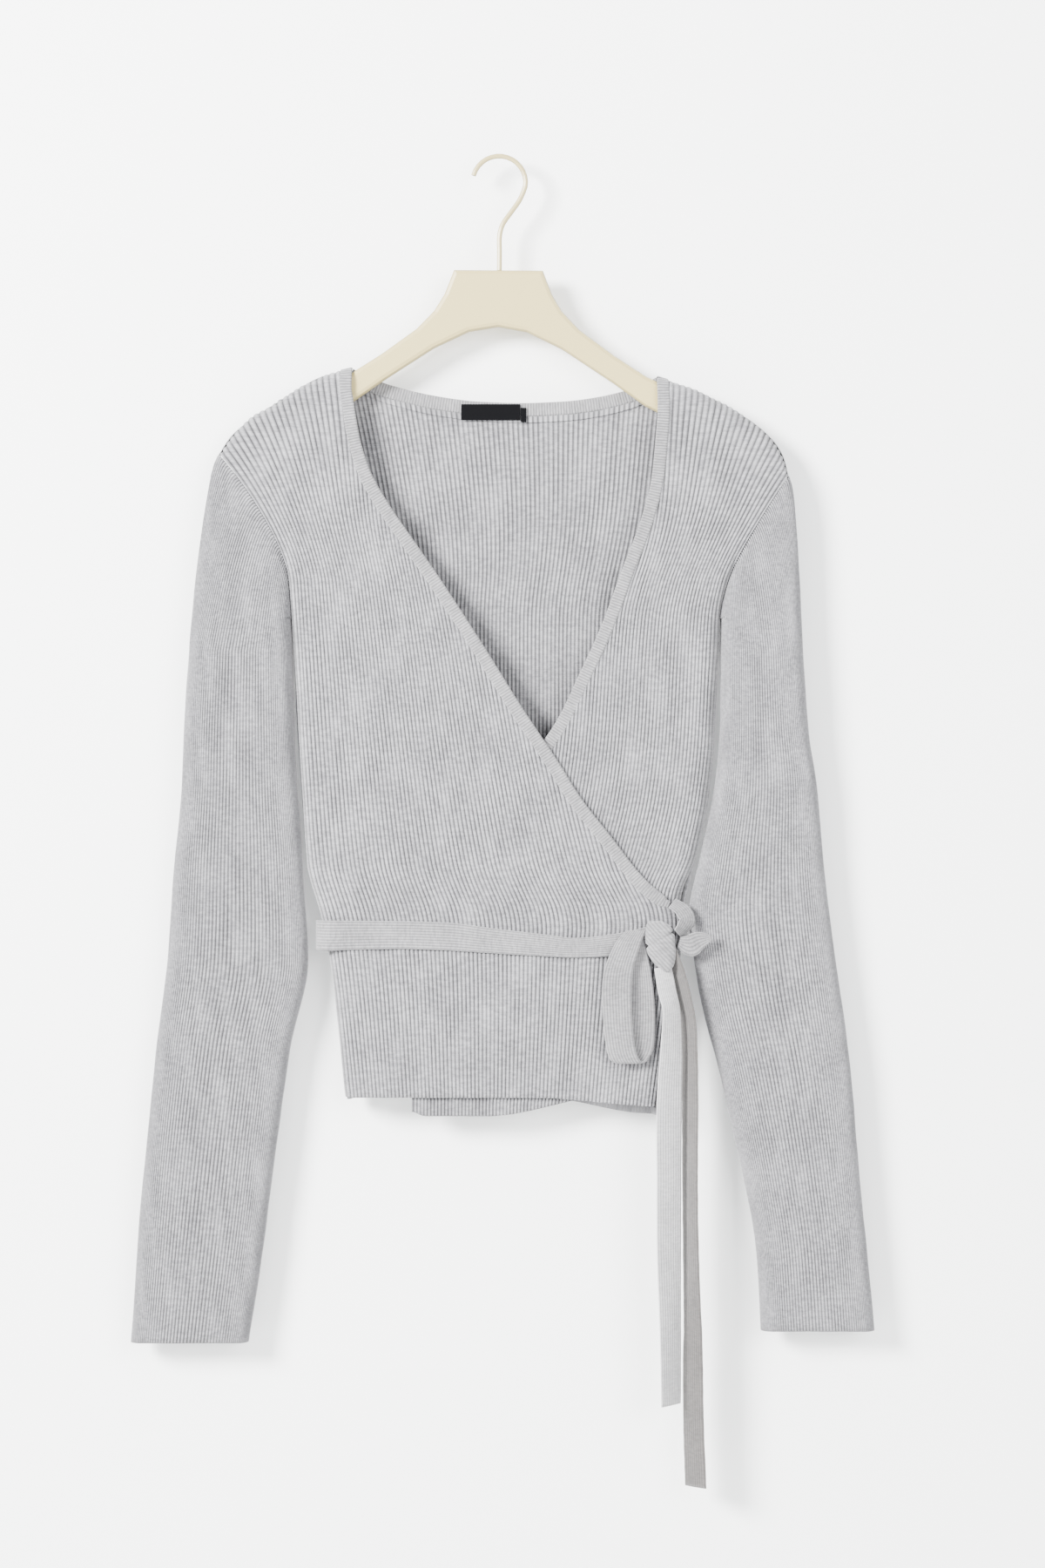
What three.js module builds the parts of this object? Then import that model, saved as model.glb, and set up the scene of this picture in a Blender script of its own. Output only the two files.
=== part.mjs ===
// A wrap cardigan in fine rib knit, tied at the waist and hung on a plain clothes hanger.
// Millimetres, +Z up, the front of the garment faces -Y. The origin is the underside of the
// top of the hook, where a peg or a rail carries it. "Left" and "right" are as seen from the front.
import * as THREE from "three";

// Driving dimensions.
const WALL = 1.8; // knit, from its inside to the top of a rib
const GROOVE = 0.6; // depth of the furrow between two ribs
const SEAM = 0.3; // gap between two pieces that are sewn together
const HALF_SEAM = SEAM / 2;
const LAYER_DROP = 3.4; // how far the under front lies behind the over front
const FOLD_RADIUS = 8; // roundness of the cloth at shoulders and side folds
const OVER_REACH = 1.5; // how far the over front passes the side of the layers under it
const BAND_WIDTH = 8; // knitted band along the neck edges
const BAND_TAPER = 1; // how much narrower a front's band is at the shoulder
const LEAST_DEPTH = 0.2; // a band ends this close to the middle plane at the shoulder
const BAND_PROUD = 0.4; // how far that band stands in front of its panel
const TIE_WALL = 1.6; // thickness of the belt and its tails
const HANGER_THICK = 10;
const HANGER_TILT = 0.4; // degrees, the right arm is the lower one
const WIRE_DIAMETER = 3.4;
const HOOK_RADIUS = 18.3; // centre line of the crook
const UNDERARM = -317; // height of the underarm
const CHEST = -252; // below this height the ribs run down the panel at an even pitch
const HEM = -646;
const BACK_HEM = { left: -648, right: -659 };
const SLEEVE_HALF_RIBS = 31; // ribs on the front half of a sleeve, and as many behind

const KNIT_COLOUR = 0xc6c6ca;
const BAND_COLOUR = 0xcdcdd0;
const LABEL_COLOUR = 0x161617;
const HANGER_COLOUR = 0xe4dcc6;

// Depth of the worn cloth in front of and behind the hanger's middle plane.
const DEPTHS = [
  { z: -140, front: 9, back: 9 },
  { z: -250, front: 9.5, back: 9.5 },
  { z: -330, front: 11.5, back: 10 },
  { z: -430, front: 13, back: 10.5 },
  { z: -535, front: 11.5, back: 9.5 },
  { z: -660, front: 12.5, back: 10.5 },
];

// Armholes from the shoulder down to the underarm, then the side folds down to the hem.
const LEFT_SIDE = [
  { z: -203.4, x: -193 },
  { z: -215, x: -179 },
  { z: -228, x: -161 },
  { z: -238, x: -153 },
  { z: -252, x: -148.8 },
  { z: -275, x: -145.8 },
  { z: -317, x: -143 },
  { z: -420, x: -137 },
  { z: -485, x: -132.5 },
  { z: -521, x: -123 },
  { z: -545, x: -118 },
  { z: -653, x: -105 },
];
const RIGHT_SIDE = [
  { z: -219, x: 199 },
  { z: -226, x: 184 },
  { z: -236, x: 175 },
  { z: -252, x: 168.5 },
  { z: -281, x: 160 },
  { z: -317, x: 152 },
  { z: -400, x: 148 },
  { z: -440, x: 144 },
  { z: -485, x: 134.5 },
  { z: -515, x: 127.5 },
  { z: -539, x: 125 },
  { z: -653, x: 109.5 },
];

// Shoulder seams, from the neck outwards.
const LEFT_SHOULDER = [
  { x: -101.4, z: -144.6 },
  { x: -122, z: -149.6 },
  { x: -134, z: -155.6 },
  { x: -152, z: -167 },
  { x: -170, z: -178.4 },
  { x: -185, z: -191.4 },
  { x: -193, z: -203.4 },
];
const RIGHT_SHOULDER = [
  { x: 108.6, z: -150.6 },
  { x: 121, z: -154.4 },
  { x: 136, z: -159.6 },
  { x: 154, z: -168.6 },
  { x: 172, z: -179.4 },
  { x: 187, z: -192 },
  { x: 195.5, z: -205 },
  { x: 199, z: -219 },
];

// Neck edges, the free edge of the band. The under front's runs on behind the over front.
const OVER_NECK = [
  { z: -144.6, x: -101.4 },
  { z: -158, x: -101.8 },
  { z: -169, x: -100.2 },
  { z: -191, x: -96.6 },
  { z: -215, x: -89.4 },
  { z: -238, x: -76.8 },
  { z: -260, x: -61.8 },
  { z: -286, x: -43.8 },
  { z: -332, x: -13.8 },
  { z: -380, x: 16.2 },
  { z: -416, x: 40.2 },
  { z: -440, x: 55.2 },
  { z: -467, x: 76.2 },
  { z: -497, x: 100.2 },
  { z: -514, x: 121.2 },
];
const UNDER_NECK = [
  { z: -150.6, x: 108.6 },
  { z: -173, x: 109.2 },
  { z: -191, x: 108 },
  { z: -221, x: 105 },
  { z: -251, x: 97.2 },
  { z: -281, x: 85.8 },
  { z: -323, x: 70.2 },
  { z: -356, x: 55.2 },
  { z: -389, x: 39 },
  { z: -430, x: 8 },
  { z: -470, x: -26 },
  { z: -500, x: -50 },
  { z: -514, x: -60 },
];
const BACK_NECK = [
  { x: -101.4, z: -144.6 },
  { x: -90, z: -150 },
  { x: -76, z: -155 },
  { x: -44, z: -162.6 },
  { x: -14, z: -166.4 },
  { x: 16, z: -167.4 },
  { x: 46, z: -166.2 },
  { x: 70, z: -163 },
  { x: 92, z: -157.5 },
  { x: 108.6, z: -150.6 },
];

// Distance between two ribs of the over front, down to the corner where it is tied.
const OVER_PITCH = [
  { z: -252, pitch: 2.25 },
  { z: -317, pitch: 2.5 },
  { z: -420, pitch: 2.75 },
  { z: -514, pitch: 3 },
];
const UNDER_PITCH = [
  { z: -252, pitch: 2.3 },
  { z: -317, pitch: 2.4 },
  { z: -420, pitch: 2.5 },
  { z: -514, pitch: 2.66 },
];

// Sleeves below the underarm: the outer and inner fold at each height.
const LEFT_SLEEVE = [
  { z: -203.4, outer: -193, inner: -193 },
  { z: -212, outer: -198, inner: -184 },
  { z: -233, outer: -202.8, inner: -157 },
  { z: -263, outer: -207, inner: -149 },
  { z: -317, outer: -212, inner: -143.5 },
  { z: -390, outer: -217, inner: -141 },
  { z: -431, outer: -219, inner: -139.5 },
  { z: -485, outer: -224, inner: -135 },
  { z: -551, outer: -228.6, inner: -132 },
  { z: -611, outer: -236, inner: -144 },
  { z: -665, outer: -242, inner: -151.5 },
  { z: -731, outer: -248, inner: -160 },
  { z: -815, outer: -254, inner: -172.5 },
];
const RIGHT_SLEEVE = [
  { z: -219, outer: 199, inner: 199 },
  { z: -228, outer: 202.5, inner: 181 },
  { z: -240, outer: 205, inner: 174 },
  { z: -275, outer: 207, inner: 162 },
  { z: -317, outer: 208.2, inner: 153 },
  { z: -390, outer: 213, inner: 151.5 },
  { z: -431, outer: 219, inner: 147.8 },
  { z: -485, outer: 223.5, inner: 137.2 },
  { z: -521, outer: 228, inner: 131 },
  { z: -564, outer: 233.5, inner: 136 },
  { z: -635, outer: 243, inner: 153 },
  { z: -701, outer: 249, inner: 168 },
  { z: -755, outer: 254, inner: 177 },
  { z: -807, outer: 258, inner: 180 },
];

// Long soft folds: centre line from (x1, z1) to (x2, z2), width across, height outwards.
const FRONT_FOLDS = [
  { x1: -128, z1: -235, x2: -112, z2: -420, width: 22, height: -1.6 },
  { x1: -95, z1: -420, x2: -70, z2: -520, width: 20, height: 1.4 },
  { x1: 143, z1: -300, x2: 128, z2: -470, width: 12, height: 1.8 },
  { x1: 62, z1: -560, x2: 66, z2: -650, width: 34, height: -1.2 },
  { x1: -44, z1: -560, x2: -52, z2: -650, width: 36, height: 1.4 },
];
const BACK_FOLDS = [
  { x1: -90, z1: -330, x2: -62, z2: -520, width: 26, height: 1.6 },
  { x1: 80, z1: -300, x2: 56, z2: -510, width: 24, height: 1.4 },
  { x1: -24, z1: -400, x2: -16, z2: -640, width: 30, height: -1.4 },
  { x1: 50, z1: -560, x2: 58, z2: -650, width: 18, height: 1.6 },
];
const SLEEVE_FOLDS = [
  { x1: -172, z1: -250, x2: -196, z2: -470, width: 14, height: -2 },
  { x1: -176, z1: -480, x2: -204, z2: -700, width: 16, height: -1.6 },
  { x1: 180, z1: -240, x2: 182, z2: -430, width: 14, height: -2 },
  { x1: 186, z1: -450, x2: 212, z2: -690, width: 16, height: -1.8 },
  { x1: -212, z1: -690, x2: -220, z2: -800, width: 14, height: 1.2 },
  { x1: 226, z1: -650, x2: 234, z2: -790, width: 14, height: 1.2 },
];

// The belt across the front, and the same height carried round the back.
const BELT_FRONT = [
  { x: -105, top: -525, bottom: -545 },
  { x: -70, top: -525, bottom: -544 },
  { x: -36, top: -526, bottom: -545 },
  { x: -4, top: -530, bottom: -547 },
  { x: 30, top: -534, bottom: -549 },
  { x: 52, top: -536.5, bottom: -550 },
  { x: 78, top: -534, bottom: -549 },
  { x: 99, top: -529, bottom: -547 },
];
const BELT_MIDDLE = -536;
const BELT_WIDTH = 20;

// Ribbons of the bow: middle line, width, and how far the face is turned from the front.
const BOW_LOOP = [
  { x: 93.6, y: -19.8, z: -531, width: 14, turn: 6 },
  { x: 87.6, y: -21.5, z: -541, width: 18, turn: 6 },
  { x: 81, y: -23, z: -562, width: 20, turn: 6 },
  { x: 81, y: -23.6, z: -590, width: 20, turn: 8 },
  { x: 83, y: -23.4, z: -610, width: 20, turn: 8 },
  { x: 85.6, y: -22.6, z: -618.5, width: 20, turn: 4 },
  { x: 88.6, y: -20, z: -621.5, width: 20, turn: 2 },
  { x: 92, y: -17.2, z: -619.5, width: 20, turn: 4 },
  { x: 96, y: -15.8, z: -610, width: 20, turn: 6 },
  { x: 97.5, y: -15.6, z: -588, width: 19, turn: 10 },
  { x: 97, y: -15.8, z: -562, width: 15, turn: 8 },
  { x: 94.6, y: -16, z: -538, width: 9, turn: 6 },
];
const TAIL_LEFT = [
  { x: 112, y: -19, z: -560, width: 12, turn: 10 },
  { x: 115, y: -19.5, z: -572, width: 14, turn: 24 },
  { x: 118, y: -20, z: -586, width: 15, turn: 34 },
  { x: 118, y: -20, z: -612, width: 18, turn: 32 },
  { x: 116.5, y: -19, z: -650, width: 20, turn: 28 },
  { x: 116.5, y: -18, z: -700, width: 20, turn: 30 },
  { x: 116.5, y: -17, z: -750, width: 20, turn: 32 },
  { x: 117.5, y: -16.5, z: -800, width: 20, turn: 40 },
  { x: 118, y: -16, z: -856, width: 20, turn: 46 },
];
const TAIL_RIGHT = [
  { x: 120, y: -17.4, z: -558, width: 9, turn: -50 },
  { x: 126, y: -13.5, z: -576, width: 16, turn: -56 },
  { x: 129.5, y: -12, z: -600, width: 19, turn: -58 },
  { x: 130.5, y: -12, z: -650, width: 20, turn: -60 },
  { x: 130.5, y: -11.5, z: -710, width: 20, turn: -62 },
  { x: 131.5, y: -11, z: -770, width: 20, turn: -60 },
  { x: 132.5, y: -11, z: -806, width: 19, turn: -52 },
  { x: 132.5, y: -11, z: -830, width: 20, turn: -50 },
  { x: 133, y: -11, z: -870, width: 20, turn: -48 },
  { x: 134.5, y: -11, z: -913, width: 20, turn: -46 },
];
const TIE_CORNER = [
  { x: 118.6, y: -14.5, z: -512.2, width: 11, turn: 20 },
  { x: 125.5, y: -16, z: -517, width: 13, turn: 26 },
  { x: 129, y: -17.3, z: -523.5, width: 13.5, turn: 32 },
  { x: 126.5, y: -18.2, z: -528.5, width: 13.5, turn: 36 },
  { x: 122, y: -18.6, z: -533, width: 9.5, turn: 40 },
];
const TIE_FOLD = [
  { x: 123.1, y: -18, z: -539, width: 7.5, turn: 90 },
  { x: 130.5, y: -18.5, z: -541, width: 16, turn: 90 },
  { x: 136, y: -17.8, z: -538.5, width: 14, turn: 90 },
  { x: 141, y: -17, z: -537, width: 9, turn: 90 },
  { x: 145, y: -16.5, z: -536.2, width: 3.5, turn: 90 },
];
const KNOT = [
  { z: -526, x: 107, half_width: 5, half_depth: 1.8 },
  { z: -530, x: 109.5, half_width: 9.5, half_depth: 4 },
  { z: -537, x: 111, half_width: 11, half_depth: 5 },
  { z: -545, x: 111.5, half_width: 10.5, half_depth: 5 },
  { z: -553, x: 111.5, half_width: 10.5, half_depth: 4.2 },
  { z: -558, x: 113, half_width: 6.5, half_depth: 2 },
];
const KNOT_Y = -19.5;

// Clothes hanger: the upper and lower edge of one arm, measured out from the middle.
const ARM_TOP = [
  { x: 30.6, z: -77.4 },
  { x: 33.5, z: -85 },
  { x: 37, z: -94 },
  { x: 44, z: -105.5 },
  { x: 56, z: -118 },
  { x: 80, z: -135.5 },
  { x: 102, z: -149.6 },
  { x: 122, z: -159.2 },
  { x: 152, z: -172.5 },
  { x: 168, z: -184 },
  { x: 175, z: -191 },
];
const ARM_BOTTOM = [
  { x: 178, z: -198 },
  { x: 173, z: -204 },
  { x: 152, z: -195 },
  { x: 102, z: -170 },
  { x: 80, z: -154.5 },
  { x: 44, z: -131 },
  { x: 20, z: -119.5 },
];
const ARCH_TOP = -116;
const HANGER_EDGE = 2.8; // roundness of the hanger's edges

const lerp = THREE.MathUtils.lerp;
const clamp = THREE.MathUtils.clamp;
const smoothstep = THREE.MathUtils.smoothstep;

// Value of a column at a height, or at another key, from a table in order of that key.
function valueAt(table, column, at, key = "z") {
  const falling = table[0][key] > table[table.length - 1][key];
  const rows = falling ? [...table].reverse() : table;
  if (at <= rows[0][key]) return rows[0][column];
  for (let i = 1; i < rows.length; i++) {
    if (at > rows[i][key]) continue;
    const share = (at - rows[i - 1][key]) / (rows[i][key] - rows[i - 1][key]);
    return lerp(rows[i - 1][column], rows[i][column], share);
  }
  return rows[rows.length - 1][column];
}

// A quarter-round profile: 0 at the edge, 1 from a fold radius inwards.
function rounded(distance, radius = FOLD_RADIUS) {
  const inside = clamp(distance / radius, 0, 1);
  return Math.sqrt(1 - (1 - inside) ** 2);
}

// A table of places made into a smooth line with many rows.
function smoothed(table) {
  const curve = new THREE.SplineCurve(table.map((row) => new THREE.Vector2(row.x, row.z)));
  return curve.getPoints(table.length * 5).map((point) => ({ x: point.x, z: point.y }));
}

// How far a set of folds moves the cloth outwards at a place.
function foldHeight(folds, x, z) {
  let height = 0;
  for (const fold of folds) {
    const share = (z - fold.z1) / (fold.z2 - fold.z1);
    const ends = smoothstep(share, -0.1, 0.3) * (1 - smoothstep(share, 0.7, 1.1));
    const across = (x - lerp(fold.x1, fold.x2, clamp(share, 0, 1))) / (fold.width / 2);
    height += fold.height * ends * Math.exp(-across * across);
  }
  return height;
}

// Height of the shoulder line over a place.
function shoulderHeight(x) {
  if (x < 0) return valueAt(LEFT_SHOULDER, "z", Math.min(x, LEFT_SHOULDER[0].x), "x");
  return valueAt(RIGHT_SHOULDER, "z", Math.max(x, RIGHT_SHOULDER[0].x), "x");
}

// Depth of the body's cloth at a place, before its side folds: it rounds over the shoulders.
function bodyDepth(column, folds, x, z) {
  const below = (shoulderHeight(x) - z) * 0.85;
  return (valueAt(DEPTHS, column, z) + foldHeight(folds, x, z)) * rounded(below);
}

// The same depth with the side folds, whose roundness starts below the chest.
function panelDepth(column, folds, x, z, left, right) {
  const valley = smoothstep(CHEST - z, 0, CHEST - UNDERARM);
  const side = rounded(Math.min(x - left, right - x));
  return Math.max(HALF_SEAM, bodyDepth(column, folds, x, z) * lerp(1, side, valley));
}

// Rows of a panel column between its top and its bottom: two close rows round the shoulder.
const ROW_DROPS = [0, 3, 10];
const ROW_SHARES = [0.958, 0.889, 0.7616, 0.5, 0.373, 0.248, 0];
const PANEL_ROWS = ROW_DROPS.length + ROW_SHARES.length;
function rowHeight(row, top, bottom) {
  const room = Math.min(1, (top - bottom) / 120);
  if (row < ROW_DROPS.length) return top - ROW_DROPS[row] * room;
  return lerp(bottom, top - ROW_DROPS[2] * room, ROW_SHARES[row - ROW_DROPS.length]);
}

// Where a rib from the shoulder runs: it leans in from its place on the seam to the chest.
function leaningX(z, top, straightX, inwards, end = CHEST) {
  if (z <= end || top.z <= end) return straightX;
  const share = clamp((z - end) / (top.z - end), 0, 1);
  return lerp(straightX, top.x, lerp(share ** 1.7, share ** 0.8, inwards));
}

// A point on a polyline of {x, z} rows at a share of its length.
function pointAlong(rows, share) {
  const lengths = [0];
  for (let i = 1; i < rows.length; i++)
    lengths.push(lengths[i - 1] + Math.hypot(rows[i].x - rows[i - 1].x, rows[i].z - rows[i - 1].z));
  const wanted = share * lengths[lengths.length - 1];
  const i = clamp(lengths.findIndex((length) => length >= wanted), 1, rows.length - 1);
  const part = (wanted - lengths[i - 1]) / (lengths[i] - lengths[i - 1]);
  const between = (key) => lerp(rows[i - 1][key] ?? 0, rows[i][key] ?? 0, part);
  return { x: between("x"), y: between("y"), z: between("z") };
}

// The neck edge moved into the panel by the width of the band.
function bandEdge(neck, z, sign, width = BAND_WIDTH + SEAM) {
  const step = 2;
  const slope = (valueAt(neck, "x", z + step) - valueAt(neck, "x", z - step)) / (2 * step);
  return valueAt(neck, "x", z) + sign * width * Math.hypot(1, slope);
}

const FAN_STEPS = 24;
const FAN_LENGTH = 70; // a rib from high on a neck edge leans for at least this length
const FAN_END = -300; // the ribs that start high on a neck edge run straight below this height

// One front, as a function from (rib, row) to a point. sign is +1 when its side is on the left.
function frontPanel(plan) {
  const { side, shoulder, neck, pitches, otherEdge, ribs, shoulderRibs, fanRibs, sign, drop, hem } = plan;
  const corner = neck[neck.length - 1].z;
  const sideX = (z) => valueAt(side, "x", z) + sign * drop.side(z);
  const pitch = (z) => {
    if (z < corner) return Math.abs(otherEdge(z) - sideX(z)) / ribs;
    return valueAt(pitches, "pitch", z);
  };
  const ribX = (rib, z) => sideX(z) + sign * rib * pitch(z);
  const neckTop = { x: bandEdge(neck, neck[0].z - 4, -sign) - sign, z: neck[0].z };
  neckTop.z = shoulderHeight(neckTop.x);
  const crossing = (rib) => {
    let high = neckTop.z;
    let low = corner;
    for (let i = 0; i < 40; i++) {
      const z = (high + low) / 2;
      if (sign * (bandEdge(neck, z, -sign) - ribX(rib, Math.min(z, CHEST))) > 0) low = z;
      else high = z;
    }
    return { x: bandEdge(neck, low, -sign), z: low };
  };
  const shoulderRows = [...shoulder].reverse().filter((row) => sign * (neckTop.x - row.x) > 0);
  const fanEnd = crossing(fanRibs);
  const fanRows = [neckTop];
  for (let i = 1; i <= FAN_STEPS; i++) {
    const z = lerp(neckTop.z, fanEnd.z, i / FAN_STEPS);
    fanRows.push({ x: bandEdge(neck, z, -sign), z });
  }
  const topOf = (rib) => {
    if (rib <= shoulderRibs) return pointAlong([...shoulderRows, neckTop], rib / shoulderRibs);
    if (rib < fanRibs) return pointAlong(fanRows, (rib - shoulderRibs) / (fanRibs - shoulderRibs));
    return crossing(rib);
  };
  const tops = new Map();
  return (rib, row) => {
    if (!tops.has(rib)) tops.set(rib, topOf(rib));
    const top = tops.get(rib);
    const z = rowHeight(row, top.z, hem(rib));
    const fan = clamp((rib - shoulderRibs) / (fanRibs - shoulderRibs), 0, 1);
    const straight = ribX(rib, Math.min(z, CHEST));
    const leanEnd = Math.min(lerp(CHEST, FAN_END, fan), fan > 0 ? top.z - FAN_LENGTH : CHEST);
    const x = leaningX(z, top, straight, Math.min(1, rib / shoulderRibs), leanEnd);
    const far = otherEdge(Math.min(z, corner));
    const edges = sign > 0 ? [sideX(z), drop.farRound ? far : 1e3] : [drop.farRound ? far : -1e3, sideX(z)];
    const depth = panelDepth("front", FRONT_FOLDS, x, z, ...edges);
    return new THREE.Vector3(x, -Math.max(HALF_SEAM, depth - drop.depth(z) * rounded(depth)), z);
  };
}

const overFront = {
  side: LEFT_SIDE,
  shoulder: LEFT_SHOULDER,
  neck: smoothed(OVER_NECK),
  pitches: OVER_PITCH,
  otherEdge: (z) => valueAt(RIGHT_SIDE, "x", z) + OVER_REACH,
  ribs: 84,
  shoulderRibs: 22,
  fanRibs: 32,
  sign: 1,
  drop: { side: () => 0, depth: () => 0, farRound: true },
  hem: (rib) => lerp(HEM, HEM - 6, smoothstep(rib, 50, 84)),
};
const underFront = {
  side: RIGHT_SIDE,
  shoulder: RIGHT_SHOULDER,
  neck: smoothed(UNDER_NECK),
  pitches: UNDER_PITCH,
  otherEdge: () => -60,
  ribs: 70,
  shoulderRibs: 24,
  fanRibs: 35,
  sign: -1,
  drop: {
    side: (z) => LAYER_DROP * smoothstep(-z, 478, 506),
    depth: (z) => LAYER_DROP * smoothstep(-z, 290, 375),
    farRound: false,
  },
  hem: (rib) => lerp(HEM + 2, HEM - 13, smoothstep(rib, 10, 48)) + 3 * smoothstep(rib, 65, 70) ** 2,
};

// The back, from the left side (rib 0) to the right side.
const BACK_RIBS = 90;
const BACK_SHOULDER_RIBS = 18;
function backPoint(rib, row) {
  const neckLeft = { x: LEFT_SHOULDER[0].x - BAND_WIDTH, z: 0 };
  const neckRight = { x: RIGHT_SHOULDER[0].x + BAND_WIDTH, z: 0 };
  neckLeft.z = shoulderHeight(neckLeft.x);
  neckRight.z = shoulderHeight(neckRight.x);
  let top;
  let inwards = 1;
  const lastNeckRib = BACK_RIBS - BACK_SHOULDER_RIBS;
  if (rib < BACK_SHOULDER_RIBS) {
    inwards = rib / BACK_SHOULDER_RIBS;
    const rows = [...LEFT_SHOULDER].reverse().filter((seam) => seam.x < neckLeft.x);
    top = pointAlong([...rows, neckLeft], inwards);
  } else if (rib > lastNeckRib) {
    inwards = (BACK_RIBS - rib) / BACK_SHOULDER_RIBS;
    const rows = [...RIGHT_SHOULDER].reverse().filter((seam) => seam.x > neckRight.x);
    top = pointAlong([...rows, neckRight], inwards);
  } else {
    const share = (rib - BACK_SHOULDER_RIBS) / (lastNeckRib - BACK_SHOULDER_RIBS);
    const x = lerp(neckLeft.x, neckRight.x, share);
    const ends = Math.min(x - neckLeft.x, neckRight.x - x);
    const drop = lerp(0, BAND_WIDTH + 2 * SEAM, smoothstep(ends, 0, BAND_WIDTH));
    top = { x, z: Math.min(shoulderHeight(x), valueAt(BACK_NECK, "z", x, "x")) - drop };
  }
  const z = rowHeight(row, top.z, lerp(BACK_HEM.left, BACK_HEM.right, smoothstep(rib, 56, 88)));
  const across = (height) => {
    const left = valueAt(LEFT_SIDE, "x", height);
    return lerp(left, valueAt(RIGHT_SIDE, "x", height), rib / BACK_RIBS);
  };
  const x = z > CHEST ? leaningX(z, top, across(CHEST), inwards) : across(z);
  const left = valueAt(LEFT_SIDE, "x", z);
  const right = valueAt(RIGHT_SIDE, "x", z);
  return new THREE.Vector3(x, panelDepth("back", BACK_FOLDS, x, z, left, right), z);
}

// The direction out of a surface given as point(u, v), from small steps both ways.
function outwardAt(point, u, v, limits, flip) {
  const step = 0.02;
  const u1 = point(Math.min(u + step, limits.u), v);
  const u0 = point(Math.max(u - step, 0), v);
  const down = Math.min(Math.ceil(v + 0.01), limits.v);
  const up = Math.max(Math.floor(v - 0.01), 0);
  const v1 = point(u, down);
  const v0 = point(u, up);
  const normal = u1.sub(u0).cross(v1.sub(v0)).normalize();
  return flip ? normal.negate() : normal;
}

// Collects triangles between rows of points and gives one closed geometry.
class Shell {
  constructor() {
    this.points = [];
  }
  triangle(a, b, c) {
    this.points.push(a, b, c);
  }
  // A strip between two rows of points, each with its key in rising order.
  stitch(first, second, flip) {
    let i = 0;
    let j = 0;
    while (i < first.length - 1 || j < second.length - 1) {
      const next = i < first.length - 1 ? first[i + 1].key : Infinity;
      const other = j < second.length - 1 ? second[j + 1].key : Infinity;
      const alongFirst = next <= other;
      const a = first[i].at;
      const b = second[j].at;
      const c = alongFirst ? first[i + 1].at : second[j + 1].at;
      if (flip) this.triangle(a, b, c);
      else this.triangle(a, c, b);
      if (alongFirst) i++;
      else j++;
    }
  }
  geometry() {
    const geometry = new THREE.BufferGeometry().setFromPoints(this.points);
    geometry.computeVertexNormals();
    return geometry;
  }
}

const NECK_INNER_DROP = 1; // the plain inside stops this much short of a neck edge

// A knit wall over point(u, v): ribs on the outside, a plain inside, and rims round it.
// columns are the outer u values, each {u, groove}; innerColumns are the plain inner u values.
function knitWall(plan) {
  const { point, columns, innerColumns, rows, limits, flip, closed, keepBehind, neckFrom } = plan;
  const shell = new Shell();
  const clear = (at) => {
    if (keepBehind) at.y = keepBehind > 0 ? Math.max(at.y, HALF_SEAM) : Math.min(at.y, -HALF_SEAM);
    return at;
  };
  const outer = [];
  const inner = [];
  for (const v of rows) {
    outer.push(
      columns.map(({ u, groove }) => {
        const at = point(u, v);
        if (groove) at.addScaledVector(outwardAt(point, u, v, limits, flip), -GROOVE);
        return { key: u, at: clear(at) };
      }),
    );
    inner.push(
      innerColumns.map((u) => {
        const at = point(u, v).addScaledVector(outwardAt(point, u, v, limits, flip), -WALL);
        if (v === 0 && neckFrom && u > neckFrom) at.z -= NECK_INNER_DROP;
        return { key: u, at: clear(at) };
      }),
    );
  }
  if (closed) for (const line of [...outer, ...inner]) line[line.length - 1].at = line[0].at;
  for (let row = 1; row < rows.length; row++) {
    shell.stitch(outer[row - 1], outer[row], flip);
    shell.stitch(inner[row - 1], inner[row], !flip);
  }
  const last = rows.length - 1;
  shell.stitch(outer[0], inner[0], !flip);
  shell.stitch(outer[last], inner[last], flip);
  if (!closed) {
    const sideOf = (grid, end) => grid.map((line, key) => ({ key, at: line[end ? line.length - 1 : 0].at }));
    shell.stitch(sideOf(outer, false), sideOf(inner, false), flip);
    shell.stitch(sideOf(outer, true), sideOf(inner, true), !flip);
  }
  return shell.geometry();
}

// Two columns for each rib, its top and its furrow, from one rib to another.
function ribColumns(first, last) {
  const columns = [];
  for (let half = first * 2; half <= last * 2; half++)
    columns.push({ u: half / 2, groove: half % 2 === 1 });
  return columns;
}

// Plain columns, closer together at the ends where the cloth rounds away.
function plainColumns(first, last, count, ends, extra = []) {
  const columns = [first, ...extra];
  for (const step of ends) columns.push(first + step);
  const start = first + ends[ends.length - 1];
  const stop = last - ends[ends.length - 1];
  for (let i = 1; i < count; i++) columns.push(lerp(start, stop, i / count));
  for (const step of [...ends].reverse()) columns.push(last - step);
  columns.push(last);
  return columns.sort((a, b) => a - b);
}

const EDGE_STEPS = [0.5, 1, 2, 3.5, 6];
const neckColumns = ({ shoulderRibs }) => [0, 0.5, 1.5, 3, 5, 7, 9, 11].map((step) => shoulderRibs + step);
const backNeckColumns = [0, 1, 2.5, 4.5].flatMap((step) => [
  BACK_SHOULDER_RIBS + step,
  BACK_RIBS - BACK_SHOULDER_RIBS - step,
]);
const panelRows = Array.from({ length: PANEL_ROWS }, (unused, row) => row);

function overFrontPanel() {
  return knitWall({
    point: frontPanel(overFront),
    columns: ribColumns(0, overFront.ribs),
    innerColumns: plainColumns(0, overFront.ribs, 15, EDGE_STEPS, neckColumns(overFront)),
    rows: panelRows,
    limits: { u: overFront.ribs, v: PANEL_ROWS - 1 },
    flip: true,
    keepBehind: -1,
    neckFrom: overFront.shoulderRibs,
  });
}

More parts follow.
